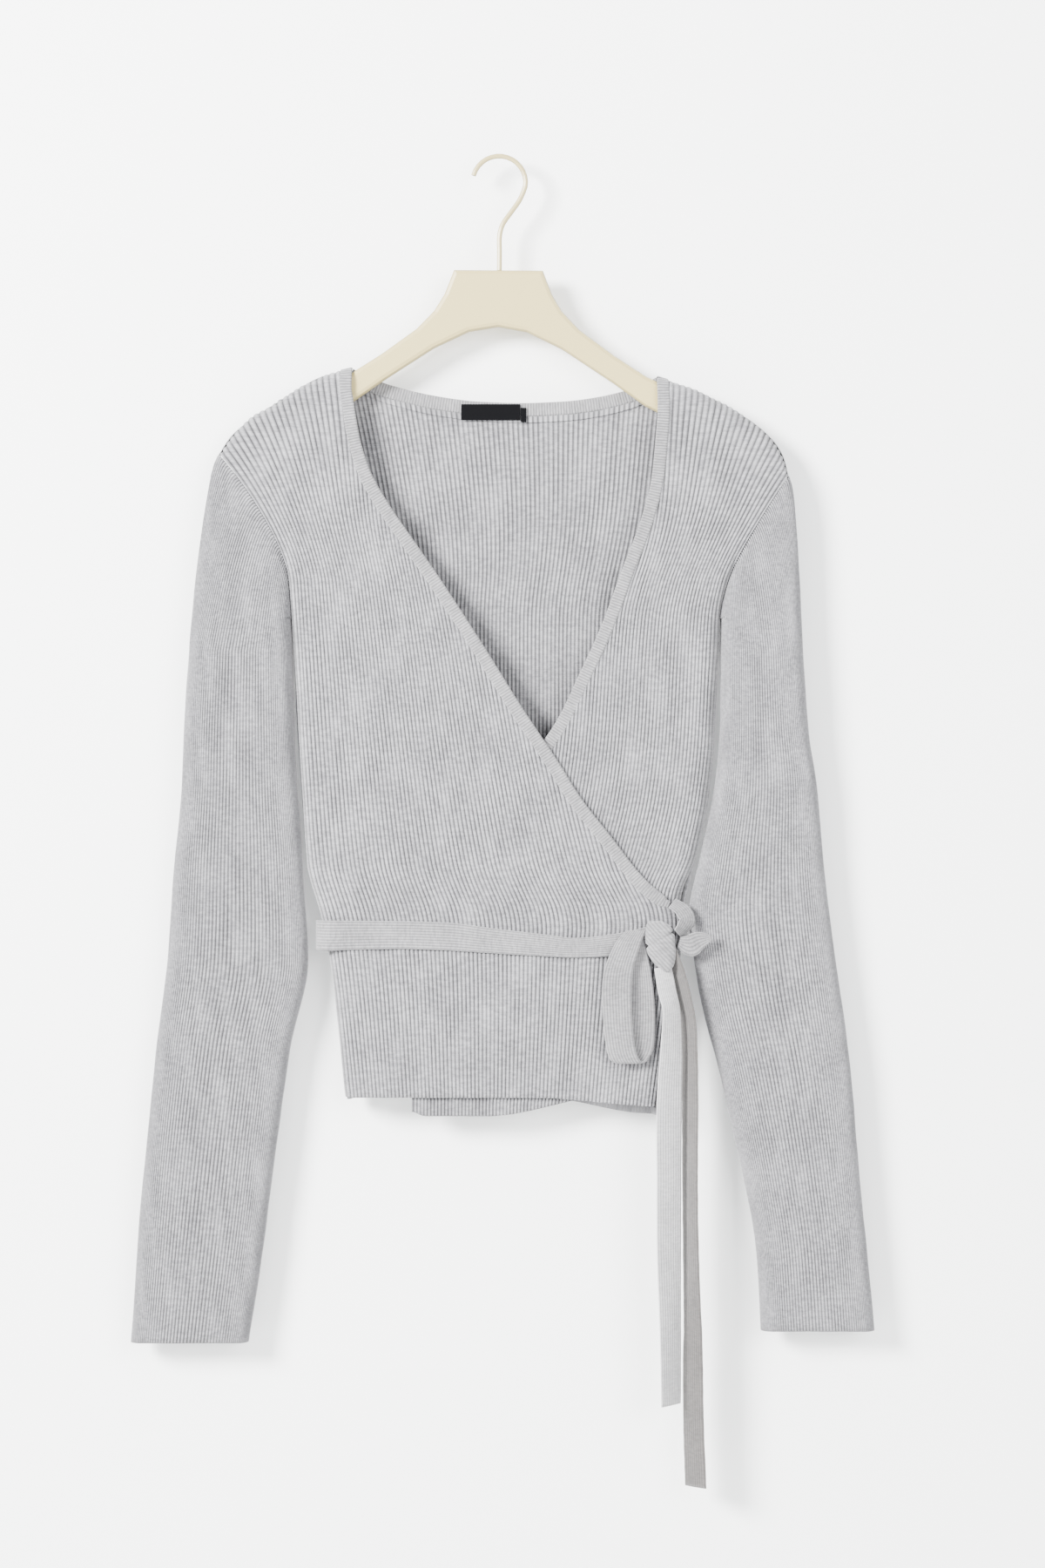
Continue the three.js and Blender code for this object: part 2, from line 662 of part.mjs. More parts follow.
const UNDER_SEEN_RIBS = 48; // past these the under front lies hidden, and is plain
function underFrontPanel() {
  const hidden = [];
  for (let rib = UNDER_SEEN_RIBS + 2; rib <= underFront.ribs; rib += 4)
    hidden.push({ u: rib, groove: false });
  return knitWall({
    point: frontPanel(underFront),
    columns: [...ribColumns(0, UNDER_SEEN_RIBS), ...hidden],
    innerColumns: plainColumns(0, underFront.ribs, 12, EDGE_STEPS, neckColumns(underFront)),
    rows: panelRows,
    limits: { u: underFront.ribs, v: PANEL_ROWS - 1 },
    flip: false,
    keepBehind: -1,
    neckFrom: underFront.shoulderRibs,
  });
}

function backPanel() {
  return knitWall({
    point: backPoint,
    columns: ribColumns(0, BACK_RIBS),
    innerColumns: plainColumns(0, BACK_RIBS, 16, EDGE_STEPS, backNeckColumns),
    rows: panelRows.filter((row) => row !== 7),
    limits: { u: BACK_RIBS, v: PANEL_ROWS - 1 },
    flip: false,
    keepBehind: 1,
  });
}

// One sleeve: a flat tube from the armhole to the cuff. u runs round it, rib by rib, from the
// outer fold over the front to the inner fold at the underarm, and back over the rear.
const SLEEVE_LEVELS = [-340, -430, -521, -650];
const SLEEVE_ROWS = [0, 1, 2, ...SLEEVE_LEVELS.map((unused, i) => 3 + i), 3 + SLEEVE_LEVELS.length];
function sleevePoint(side, table, frontEdge, backEdge) {
  const cuff = table[table.length - 1].z;
  const sign = Math.sign(table[0].outer);
  return (u, row) => {
    const behind = u > SLEEVE_HALF_RIBS;
    const rib = behind ? 2 * SLEEVE_HALF_RIBS - u : u;
    const share = rib / SLEEVE_HALF_RIBS;
    const start = pointAlong(behind ? backEdge : frontEdge, share);
    const levels = [...SLEEVE_LEVELS, cuff];
    const firstLevel = levels[0];
    const even = (z) => {
      const spread = share - (0.5 * Math.sin(2 * Math.PI * share)) / (2 * Math.PI);
      return lerp(valueAt(table, "outer", z), valueAt(table, "inner", z), spread);
    };
    let z;
    let x;
    if (row < 3) {
      const drop = row / 3;
      z = lerp(start.z, firstLevel, drop ** 1.3);
      x = lerp(start.x, even(firstLevel), drop ** 0.8);
    } else {
      z = levels[row - 3];
      x = even(z);
    }
    const outer = valueAt(table, "outer", z);
    const seam = z > UNDERARM ? valueAt(side, "x", z) : valueAt(table, "inner", z);
    const valley = smoothstep(CHEST - z, 0, CHEST - UNDERARM);
    const fromOuter = rounded(Math.max(0, (x - outer) * -sign));
    const fromInner = rounded(Math.max(0, (seam - x) * -sign));
    const column = behind ? "back" : "front";
    const slim = lerp(1, 0.72, smoothstep(-z, 330, 520));
    const depth = (valueAt(DEPTHS, column, z) + foldHeight(SLEEVE_FOLDS, x, z)) * slim;
    const y = depth * fromOuter * lerp(1, fromInner, valley);
    if (row === 0) return new THREE.Vector3(x, start.y, z);
    return new THREE.Vector3(x, behind ? y : -y, z);
  };
}

// The armhole edge of a panel as the sleeve meets it: the panel's own side column from the
// shoulder to the underarm, moved off it by the seam's gap.
function armholeEdge(point, rib, sign) {
  const rows = [];
  for (let row = 0; row < PANEL_ROWS; row++) {
    const at = point(rib, row);
    if (at.z < UNDERARM - 4) break;
    const first = row === 0;
    rows.push({ x: at.x + sign * (first ? SEAM : SEAM + 0.6), y: first ? 0 : at.y, z: at.z - SEAM - 0.2 });
  }
  const last = rows[rows.length - 1];
  last.y = 0;
  return rows;
}

function sleeve(side, table, frontPoint, backRib) {
  const sign = Math.sign(table[0].outer);
  const frontEdge = armholeEdge(frontPoint, 0, sign);
  const backEdge = armholeEdge(backPoint, backRib, sign);
  const around = 2 * SLEEVE_HALF_RIBS;
  const innerColumns = [];
  for (let i = 0; i <= 24; i++) innerColumns.push((around * i) / 24);
  return knitWall({
    point: sleevePoint(side, table, frontEdge, backEdge),
    columns: ribColumns(0, around),
    innerColumns,
    rows: SLEEVE_ROWS,
    limits: { u: around, v: SLEEVE_ROWS.length - 1 },
    flip: sign < 0,
    closed: true,
  });
}

// A strip of tape along rows of {x, y, z, width, turn}, with square edges.
function ribbon(rows, thickness = TIE_WALL) {
  const centres = rows.map((row) => new THREE.Vector3(row.x, row.y, row.z));
  const rings = rows.map((row, i) => {
    const before = centres[Math.max(i - 1, 0)];
    const after = centres[Math.min(i + 1, rows.length - 1)];
    const along = after.clone().sub(before).normalize();
    const angle = THREE.MathUtils.degToRad(row.turn);
    let across = new THREE.Vector3(Math.cos(angle), Math.sin(angle), 0);
    if (row.turn === 90) across = new THREE.Vector3(0, 0.2, -1);
    across.addScaledVector(along, -across.dot(along)).normalize();
    const face = new THREE.Vector3().crossVectors(across, along);
    const corner = (side, front) =>
      centres[i]
        .clone()
        .addScaledVector(across, (side * row.width) / 2)
        .addScaledVector(face, (front * thickness) / 2);
    return [corner(-1, -1), corner(1, -1), corner(1, 1), corner(-1, 1)];
  });
  return sectionStrip(rings);
}

// A strip of knit through sections, each of four corners {x, y, z}, closed at both ends.
function sectionStrip(sections) {
  const shell = new Shell();
  const quad = (a, b, c, d) => {
    shell.triangle(a, b, c);
    shell.triangle(a, c, d);
  };
  for (let i = 1; i < sections.length; i++)
    for (let k = 0; k < 4; k++) {
      const next = (k + 1) % 4;
      quad(sections[i - 1][k], sections[i][k], sections[i][next], sections[i - 1][next]);
    }
  const end = sections[sections.length - 1];
  quad(sections[0][0], sections[0][1], sections[0][2], sections[0][3]);
  quad(end[3], end[2], end[1], end[0]);
  return shell.geometry();
}

// The band along a front's neck edge: its face stands a little proud of the panel.
const BAND_STEPS = 26;
function frontBand({ neck, sign, drop }) {
  const top = neck[0].z;
  const bottom = neck[neck.length - 1].z;
  const depthAt = (x, z) => {
    const depth = bodyDepth("front", FRONT_FOLDS, x, z);
    return Math.max(LEAST_DEPTH, depth - drop.depth(z) * rounded(depth));
  };
  const sections = [];
  for (let i = 0; i <= BAND_STEPS; i++) {
    const share = i / BAND_STEPS;
    const z = lerp(top, bottom, share ** 1.35);
    const free = valueAt(neck, "x", z);
    const width = BAND_WIDTH - SEAM - BAND_TAPER * (1 - share) ** 4 - 0.1;
    const sewn = bandEdge(neck, z - (i ? 0 : 4), -sign, width);
    const level = (x) => Math.min(z, shoulderHeight(x));
    const place = (x, back) => {
      const depth = depthAt(x, level(x));
      const y = back ? Math.max(LEAST_DEPTH, depth - WALL) : depth + BAND_PROUD * rounded(depth);
      const low = back ? WALL * (1 - rounded(depth - LEAST_DEPTH, BAND_WIDTH - 2)) : 0;
      return new THREE.Vector3(x, -y, level(x) - low);
    };
    sections.push([place(sewn, false), place(free, false), place(free, true), place(sewn, true)]);
  }
  if (sign > 0) return sectionStrip(sections);
  return sectionStrip(sections.map((section) => [section[1], section[0], section[3], section[2]]));
}

// The band along the back of the neck.
function backBand() {
  const sections = [];
  const first = LEFT_SHOULDER[0].x;
  const last = RIGHT_SHOULDER[0].x;
  const places = [first, first + 1.5, first + 3];
  for (let i = 1; i < 24; i++) places.push(lerp(first, last, i / 24));
  places.push(last - 3, last - 1.5, last);
  for (const x of places) {
    const top = valueAt(BACK_NECK, "z", x, "x");
    const ends = Math.min(x - first, last - x);
    const place = (z, inside) => {
      const full = valueAt(DEPTHS, "back", z);
      const depth = lerp(full * rounded((shoulderHeight(x) - z) * 0.85 + 0.02), full, smoothstep(ends, 0, 3));
      const y = inside ? Math.max(LEAST_DEPTH, depth - WALL) : Math.max(LEAST_DEPTH, depth) + BAND_PROUD;
      return new THREE.Vector3(x, y, z);
    };
    const low = top - lerp(BAND_WIDTH * 0.55, BAND_WIDTH, smoothstep(ends, 0, 12));
    sections.push([place(top, false), place(low, false), place(low, true), place(top, true)]);
  }
  return sectionStrip(sections);
}

// The body's outside at the height of the belt, so that the belt lies on it.
function beltBase(x, z, column) {
  const folds = column === "front" ? FRONT_FOLDS : BACK_FOLDS;
  return panelDepth(column, folds, x, z, valueAt(LEFT_SIDE, "x", z), valueAt(RIGHT_SIDE, "x", z));
}

const BELT_LIFT = 0.8; // how far the belt lies off the knit
function beltFront() {
  const sections = [];
  const steps = 22;
  for (let i = 0; i <= steps; i++) {
    const x = lerp(-112, BELT_FRONT[BELT_FRONT.length - 1].x, i / steps);
    const top = valueAt(BELT_FRONT, "top", x, "x");
    const bottom = valueAt(BELT_FRONT, "bottom", x, "x");
    const depth = Math.max(beltBase(x, top, "front"), beltBase(x, bottom, "front")) + BELT_LIFT;
    const corner = (z, out) => new THREE.Vector3(x, -(depth + out), z);
    sections.push([corner(top, TIE_WALL), corner(top, 0), corner(bottom, 0), corner(bottom, TIE_WALL)]);
  }
  return sectionStrip(sections);
}

// The belt round the left side, across the back and round the right side to the knot.
function beltBack() {
  const sections = [];
  const high = BELT_MIDDLE + BELT_WIDTH / 2;
  const low = BELT_MIDDLE - BELT_WIDTH / 2;
  const left = valueAt(LEFT_SIDE, "x", high);
  const right = valueAt(RIGHT_SIDE, "x", high);
  const corner = (x, y, z) => new THREE.Vector3(x, y, z);
  const add = (inner, outer) =>
    sections.push([
      corner(outer.x, outer.y, low),
      corner(inner.x, inner.y, low),
      corner(inner.x, inner.y, high),
      corner(outer.x, outer.y, high),
    ]);
  const frontDepth = valueAt(DEPTHS, "front", BELT_MIDDLE) + BELT_LIFT;
  const backDepth = valueAt(DEPTHS, "back", BELT_MIDDLE) + BELT_LIFT + 0.6;
  const turn = (centreX, radiusX, depth, angles) => {
    for (const degrees of angles) {
      const angle = THREE.MathUtils.degToRad(degrees);
      const grow = (extra) => ({
        x: centreX + (radiusX + extra) * Math.cos(angle),
        y: (depth + extra) * Math.sin(angle),
      });
      add(grow(0), grow(TIE_WALL));
    }
  };
  const radius = FOLD_RADIUS + 1.2;
  const leftCentre = left - BELT_LIFT - 0.8 + radius;
  const rightCentre = right + BELT_LIFT + 0.8 - radius;
  turn(leftCentre, radius, frontDepth, [262, 245, 225, 205, 180]);
  turn(leftCentre, radius, backDepth, [160, 140, 120, 100]);
  for (let i = 1; i < 16; i++) {
    const x = lerp(leftCentre, rightCentre, i / 16);
    const depth = Math.max(beltBase(x, high, "back"), beltBase(x, low, "back"), backDepth - 0.5);
    add({ x, y: depth + BELT_LIFT }, { x, y: depth + BELT_LIFT + TIE_WALL });
  }
  turn(rightCentre, radius, backDepth, [80, 60, 40, 20]);
  turn(rightCentre, radius, frontDepth, [0, -20, -40, -55]);
  return sectionStrip(sections);
}

function knot() {
  const shell = new Shell();
  const sides = 12;
  const ring = (row) => {
    const points = [];
    for (let k = 0; k < sides; k++) {
      const angle = (2 * Math.PI * k) / sides;
      const x = row.x + row.half_width * Math.cos(angle);
      points.push(new THREE.Vector3(x, KNOT_Y + row.half_depth * Math.sin(angle), row.z));
    }
    return points;
  };
  const rings = KNOT.map(ring);
  for (let i = 1; i < rings.length; i++)
    for (let k = 0; k < sides; k++) {
      const next = (k + 1) % sides;
      shell.triangle(rings[i - 1][k], rings[i][k], rings[i][next]);
      shell.triangle(rings[i - 1][k], rings[i][next], rings[i - 1][next]);
    }
  const first = rings[0];
  const last = rings[rings.length - 1];
  for (let k = 1; k < sides - 1; k++) {
    shell.triangle(first[0], first[k], first[k + 1]);
    shell.triangle(last[0], last[k + 1], last[k]);
  }
  return shell.geometry();
}

// The bare woven label in the back of the neck, with a small size tab at its right end.
function label(left, right, top, bottom) {
  const width = right - left;
  const geometry = new THREE.BoxGeometry(width, 0.6, top - bottom);
  const inner = valueAt(DEPTHS, "back", top) - WALL - SEAM - 0.6;
  return geometry.translate((left + right) / 2, inner, (top + bottom) / 2);
}

function hangerBody() {
  const shape = new THREE.Shape();
  const right = [...ARM_TOP, ...ARM_BOTTOM];
  const outline = right.map((point) => new THREE.Vector2(point.x, point.z));
  outline.push(new THREE.Vector2(0, ARCH_TOP));
  for (const point of [...right].reverse()) outline.push(new THREE.Vector2(-point.x, point.z));
  shape.setFromPoints(outline.reverse());
  const geometry = new THREE.ExtrudeGeometry(shape, {
    depth: HANGER_THICK - 2 * HANGER_EDGE,
    steps: 1,
    bevelEnabled: true,
    bevelThickness: HANGER_EDGE,
    bevelSize: HANGER_EDGE,
    bevelOffset: -HANGER_EDGE,
    bevelSegments: 2,
  });
  geometry.rotateX(Math.PI / 2);
  geometry.translate(0, HANGER_THICK / 2 - HANGER_EDGE, 0);
  return geometry;
}

function hangerHook() {
  const middle = WIRE_DIAMETER / 2;
  const centreZ = middle - HOOK_RADIUS;
  const points = [];
  for (let degrees = 165; degrees >= -5; degrees -= 10) {
    const angle = THREE.MathUtils.degToRad(degrees);
    points.push(new THREE.Vector3(HOOK_RADIUS * Math.cos(angle), 0, centreZ + HOOK_RADIUS * Math.sin(angle)));
  }
  const stem = [
    { x: 14.4, z: -28.2 },
    { x: 8, z: -37.5 },
    { x: 2.6, z: -45.5 },
    { x: 0.6, z: -53 },
    { x: 0.6, z: -64 },
    { x: 0.6, z: ARM_TOP[0].z + SEAM },
  ];
  for (const point of stem) points.push(new THREE.Vector3(point.x, 0, point.z));
  const section = new THREE.Shape().absarc(0, 0, WIRE_DIAMETER / 2, 0, 2 * Math.PI);
  return new THREE.ExtrudeGeometry(section, {
    extrudePath: new THREE.CatmullRomCurve3(points),
    steps: 32,
    curveSegments: 4,
    bevelEnabled: false,
  });
}

const knit = new THREE.MeshStandardMaterial({ color: KNIT_COLOUR, roughness: 0.95, metalness: 0 });
const tape = new THREE.MeshStandardMaterial({ color: BAND_COLOUR, roughness: 0.95, metalness: 0 });
const woven = new THREE.MeshStandardMaterial({ color: LABEL_COLOUR, roughness: 0.8, metalness: 0 });
const painted = new THREE.MeshStandardMaterial({ color: HANGER_COLOUR, roughness: 0.45, metalness: 0 });

function named(name, geometry, material) {
  geometry.deleteAttribute("uv");
  const mesh = new THREE.Mesh(geometry, material);
  mesh.name = name;
  return mesh;
}

const cardigan = new THREE.Group();
cardigan.add(
  named("back", backPanel(), knit),
  named("front_under", underFrontPanel(), knit),
  named("front_over", overFrontPanel(), knit),
  named("sleeve_left", sleeve(LEFT_SIDE, LEFT_SLEEVE, frontPanel(overFront), 0), knit),
  named("sleeve_right", sleeve(RIGHT_SIDE, RIGHT_SLEEVE, frontPanel(underFront), BACK_RIBS), knit),
  named("band_over", frontBand(overFront), tape),
  named("band_under", frontBand(underFront), tape),
  named("band_back", backBand(), tape),
  named("neck_label", label(-26.4, 14.4, -168.5, -179.5), woven),
  named("size_tab", label(14.8, 18.6, -171, -181), woven),
);

const belt = new THREE.Group();
belt.add(
  named("belt_front", beltFront(), tape),
  named("belt_back", beltBack(), tape),
  named("bow_knot", knot(), tape),
  named("bow_loop", ribbon(BOW_LOOP), tape),
  named("tail_left", ribbon(TAIL_LEFT), tape),
  named("tail_right", ribbon(TAIL_RIGHT), tape),
  named("tie_corner", ribbon(TIE_CORNER), tape),
  named("tie_fold", ribbon(TIE_FOLD), tape),
);

const hanger = new THREE.Group();
hanger.add(named("hanger_body", hangerBody(), painted), named("hanger_hook", hangerHook(), painted));
hanger.rotation.y = THREE.MathUtils.degToRad(HANGER_TILT);

const group = new THREE.Group();
group.add(cardigan, belt, hanger);
export default group;
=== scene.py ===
# %% [markdown]
# # A wrap cardigan on a hanger, in fine rib knit
# The CAD model gives the frame and the main form of every piece. This lesson lays finer cloth on
# that form: each rib of the knit is real geometry, and the bands, the belt and its half bow are
# soft tapes. Sizes in the tables are millimetres, +Z is up, the front faces -Y.

# %%
import math

import bmesh
import bpy
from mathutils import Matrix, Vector
import numpy as np


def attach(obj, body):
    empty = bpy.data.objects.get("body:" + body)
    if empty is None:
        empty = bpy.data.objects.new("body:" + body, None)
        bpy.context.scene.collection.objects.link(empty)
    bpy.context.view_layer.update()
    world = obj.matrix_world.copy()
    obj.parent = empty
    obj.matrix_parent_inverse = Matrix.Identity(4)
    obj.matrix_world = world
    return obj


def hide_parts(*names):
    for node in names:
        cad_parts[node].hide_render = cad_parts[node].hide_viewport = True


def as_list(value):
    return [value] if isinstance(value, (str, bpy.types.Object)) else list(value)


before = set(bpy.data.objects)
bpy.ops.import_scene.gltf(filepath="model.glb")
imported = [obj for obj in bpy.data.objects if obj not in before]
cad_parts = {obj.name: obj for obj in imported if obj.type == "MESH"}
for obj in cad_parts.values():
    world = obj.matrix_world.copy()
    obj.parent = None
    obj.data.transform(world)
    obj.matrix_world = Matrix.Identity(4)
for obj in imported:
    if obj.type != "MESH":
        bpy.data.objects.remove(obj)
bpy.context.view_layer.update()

# %% [markdown]
# ## The measured tables
# The same tables as in the CAD source: heights are below the hook, x is to the right as seen
# from the front. `table` keeps each column under its own name.

# %%
MM = 0.001
FOLD_RADIUS, BAND_WIDTH, SEAM = 8.0, 8.0, 0.3
CHEST, UNDERARM, HEM, LAYER_DROP = -252.0, -317.0, -646.0, 3.4
SLEEVE_HALF_RIBS = 62


def table(names, rows):
    return {name: np.array(column, float) for name, column in zip(names.split(), zip(*rows))}


DEPTHS = table("z front back", [
    (-140, 9, 9), (-250, 9.5, 9.5), (-330, 11.5, 10), (-430, 13, 10.5), (-535, 11.5, 9.5),
    (-660, 12.5, 10.5)])
LEFT_SIDE = table("z x", [
    (-203.4, -193), (-215, -179), (-228, -161), (-238, -153), (-252, -148.8), (-275, -145.8), (-317, -143),
    (-420, -137), (-485, -132.5), (-521, -123), (-545, -118), (-653, -105)])
RIGHT_SIDE = table("z x", [
    (-219, 199), (-226, 184), (-236, 175), (-252, 168.5), (-281, 160), (-317, 152), (-400, 148), (-440, 144),
    (-485, 134.5), (-515, 127.5), (-539, 125), (-653, 109.5)])
LEFT_SHOULDER = table("x z", [
    (-101.4, -144.6), (-122, -149.6), (-134, -155.6), (-152, -167), (-170, -178.4), (-185, -191.4),
    (-193, -203.4)])
RIGHT_SHOULDER = table("x z", [
    (108.6, -150.6), (121, -154.4), (136, -159.6), (154, -168.6), (172, -179.4), (187, -192), (195.5, -205),
    (199, -219)])
OVER_NECK = table("z x", [
    (-144.6, -101.4), (-158, -101.8), (-169, -100.2), (-191, -96.6), (-215, -89.4), (-238, -76.8),
    (-260, -61.8), (-286, -43.8), (-332, -13.8), (-380, 16.2), (-416, 40.2), (-440, 55.2), (-467, 76.2),
    (-497, 100.2), (-514, 121.2)])
UNDER_NECK = table("z x", [
    (-150.6, 108.6), (-173, 109.2), (-191, 108), (-221, 105), (-251, 97.2), (-281, 85.8), (-323, 70.2),
    (-356, 55.2), (-389, 39), (-430, 8), (-470, -26), (-500, -50), (-514, -60)])
BACK_NECK = table("x z", [
    (-101.4, -144.6), (-90, -150), (-76, -155), (-44, -162.6), (-14, -166.4), (16, -167.4), (46, -166.2),
    (70, -163), (92, -157.5), (108.6, -150.6)])
OVER_PITCH = table("z pitch", [(-252, 2.25), (-317, 2.5), (-420, 2.75), (-514, 3)])
UNDER_PITCH = table("z pitch", [(-252, 2.3), (-317, 2.4), (-420, 2.5), (-514, 2.66)])
LEFT_SLEEVE = table("z outer inner", [
    (-203.4, -193, -193), (-212, -198, -184), (-233, -202.8, -157), (-263, -207, -149),
    (-317, -212, -143.5), (-390, -217, -141), (-431, -219, -139.5), (-485, -224, -135),
    (-551, -228.6, -132), (-611, -236, -144), (-665, -242, -151.5), (-731, -248, -160),
    (-815, -254, -172.5)])
RIGHT_SLEEVE = table("z outer inner", [
    (-219, 199, 199), (-228, 202.5, 181), (-240, 205, 174), (-275, 207, 162), (-317, 208.2, 153),
    (-390, 213, 151.5), (-431, 219, 147.8), (-485, 223.5, 137.2), (-521, 228, 131), (-564, 233.5, 136),
    (-635, 243, 153), (-701, 249, 168), (-755, 254, 177), (-807, 258, 180)])

print("sleeves, outer fold to outer fold:", RIGHT_SLEEVE["outer"].max() - LEFT_SLEEVE["outer"].min(), "mm")

# %% [markdown]
# ## Soft folds
# Hung cloth is never flat. Each fold is a line from one place to another with a width and a
# height; a negative height is a trough. The hidden back has folds of the same kind as the front.

# %%
FRONT_FOLDS = table("x1 z1 x2 z2 width height", [
    (-128, -235, -112, -420, 22, -1.6), (-95, -420, -70, -520, 20, 1.4), (143, -300, 128, -470, 12, 1.8),
    (62, -560, 66, -650, 34, -1.2), (-44, -560, -52, -650, 36, 1.4)])
BACK_FOLDS = table("x1 z1 x2 z2 width height", [
    (-90, -330, -62, -520, 26, 1.6), (80, -300, 56, -510, 24, 1.4), (-24, -400, -16, -640, 30, -1.4),
    (50, -560, 58, -650, 18, 1.6)])
SLEEVE_FOLDS = table("x1 z1 x2 z2 width height", [
    (-172, -250, -196, -470, 14, -2), (-176, -480, -204, -700, 16, -1.6), (180, -240, 182, -430, 14, -2),
    (186, -450, 212, -690, 16, -1.8), (-212, -690, -220, -800, 14, 1.2), (226, -650, 234, -790, 14, 1.2)])

for name, folds in dict(front=FRONT_FOLDS, back=BACK_FOLDS, sleeves=SLEEVE_FOLDS).items():
    print(name, len(folds["x1"]), "folds, up to", np.abs(folds["height"]).max(), "mm")

# %% [markdown]
# ## Curves through the tables
# `through` is a smooth line through a column that never overshoots between two rows, so an edge
# has no corners where the table has its rows.

# %%
def through(t, name, at, key="z"):
    order = np.argsort(t[key])
    x, y = t[key][order], t[name][order]
    run = np.diff(x)
    slope = np.diff(y) / run
    tangent = np.zeros_like(y)
    tangent[0], tangent[-1] = slope[0], slope[-1]
    product = slope[:-1] * slope[1:]
    total = np.where(product > 0, slope[:-1] + slope[1:], 1)
    tangent[1:-1] = np.where(product > 0, 2 * product / total, 0)
    v = np.clip(at, x[0], x[-1])
    i = np.clip(np.searchsorted(x, v) - 1, 0, len(run) - 1)
    s = (v - x[i]) / run[i]
    h00, h10 = (1 + 2 * s) * (1 - s) ** 2, s * (1 - s) ** 2
    h01, h11 = s * s * (3 - 2 * s), s * s * (s - 1)
    return h00 * y[i] + h10 * run[i] * tangent[i] + h01 * y[i + 1] + h11 * run[i] * tangent[i + 1]


def lerp(a, b, share):
    return a + (b - a) * share


def smoothstep(x, low, high):
    s = np.clip((x - low) / (high - low), 0, 1)
    return s * s * (3 - 2 * s)


def rounded(distance, radius=FOLD_RADIUS):
    inside = np.clip(distance / radius, 0, 1)
    return np.sqrt(1 - (1 - inside) ** 2)

# %% [markdown]
# ## How deep the cloth lies
# The body hangs as a flat tube. Its depth comes from a table, plus the folds, rounded off at the
# shoulders. Below the chest a panel also rounds in to its side seam, and the sleeve hangs beside
# it; above, front, sleeve and back are one surface.

# %%
def fold_height(folds, x, z):
    height = np.zeros(np.broadcast(x, z).shape)
    for i in range(len(folds["x1"])):
        f = {name: column[i] for name, column in folds.items()}
        share = (z - f["z1"]) / (f["z2"] - f["z1"])
        ends = smoothstep(share, -0.1, 0.3) * (1 - smoothstep(share, 0.7, 1.1))
        across = (x - lerp(f["x1"], f["x2"], np.clip(share, 0, 1))) / (f["width"] / 2)
        height = height + f["height"] * ends * np.exp(-across * across)
    return height


def shoulder_height(x):
    left = through(LEFT_SHOULDER, "z", np.minimum(x, LEFT_SHOULDER["x"][0]), "x")
    right = through(RIGHT_SHOULDER, "z", np.maximum(x, RIGHT_SHOULDER["x"][0]), "x")
    return np.where(np.asarray(x) < 0, left, right)


def body_depth(column, folds, x, z):
    full = through(DEPTHS, column, z) + fold_height(folds, x, z)
    return full * rounded((shoulder_height(x) - z) * 0.85)


LEAST_DEPTH = 0.15  # of a panel at its edges, so front and back never meet


def panel_depth(column, folds, x, z, left, right):
    valley = smoothstep(CHEST - z, 0, CHEST - UNDERARM)
    side = rounded(np.minimum(x - left, right - x))
    return np.maximum(LEAST_DEPTH, body_depth(column, folds, x, z) * lerp(1, side, valley))


def along(points, share):
    """A place on a polyline of (x, y, z) rows at a share of its length."""
    points = np.asarray(points, float)
    steps = np.linalg.norm(np.diff(points[:, [0, 2]], axis=0), axis=1)
    length = np.concatenate([[0], np.cumsum(steps)])
    return np.stack([np.interp(share * length[-1], length, points[:, k]) for k in range(3)], -1)


underarm_width = through(RIGHT_SIDE, "x", UNDERARM) - through(LEFT_SIDE, "x", UNDERARM)
print("width at the underarm:", round(float(underarm_width), 1), "mm")

# %% [markdown]
# ## Where a panel's ribs run
# A front is a function of the rib and the place down it. Below the chest the ribs stand at an
# even pitch from the side; above it they lean in to the shoulder seam, or to the neck band.

# %%
def band_edge(neck, z, sign, width=BAND_WIDTH + SEAM):
    slope = (through(neck, "x", z + 2) - through(neck, "x", z - 2)) / 4
    return through(neck, "x", z) + sign * width * np.hypot(1, slope)


def leaning(z, top_x, top_z, straight, inwards, end):
    share = np.clip((z - end) / np.maximum(top_z - end, 1e-6), 0, 1)
    return lerp(straight, top_x, share ** lerp(1.7, 1.25, inwards))


def chest_level(z, softness=14):
    """The height itself below the chest, and the chest's height above it, with a soft change."""
    return CHEST - softness * np.log1p(np.exp(np.clip((CHEST - z) / softness, -50, 50)))


LEAN_END = CHEST - 40  # below this the ribs run straight

# %% [markdown]
# ## The plan of the two fronts
# Ribs are counted from the side seam to the neck. `sign` is the way they count in x, `far` the
# edge they reach below the neck, and `drop` how far a layer sinks where the other lies on it.

# %%
UNDER_END = -60  # x of the hidden free edge of the front that lies below


def under_hem(rib):
    return lerp(HEM + 2, HEM - 13, smoothstep(rib, 10, 48)) + 3 * smoothstep(rib, 65, 70) ** 2


OVER = dict(
    side=LEFT_SIDE, shoulder=LEFT_SHOULDER, neck=OVER_NECK, pitch=OVER_PITCH, sign=1, ribs=84,
    shoulder_ribs=22, far_round=True, far=lambda z: through(RIGHT_SIDE, "x", z) + 1.5,
    drop_side=lambda z: 0 * z, drop=lambda z: 0 * z,
    hem=lambda rib: lerp(HEM, HEM - 6, smoothstep(rib, 50, 84)))
UNDER = dict(
    side=RIGHT_SIDE, shoulder=RIGHT_SHOULDER, neck=UNDER_NECK, pitch=UNDER_PITCH, sign=-1, ribs=70,
    shoulder_ribs=24, far_round=False, far=lambda z: UNDER_END + 0 * z,
    drop_side=lambda z: LAYER_DROP * smoothstep(-z, 478, 506),
    drop=lambda z: LAYER_DROP * smoothstep(-z, 290, 375), hem=under_hem)
NECK_PITCH = 3.4  # between ribs at the height of the neck's top


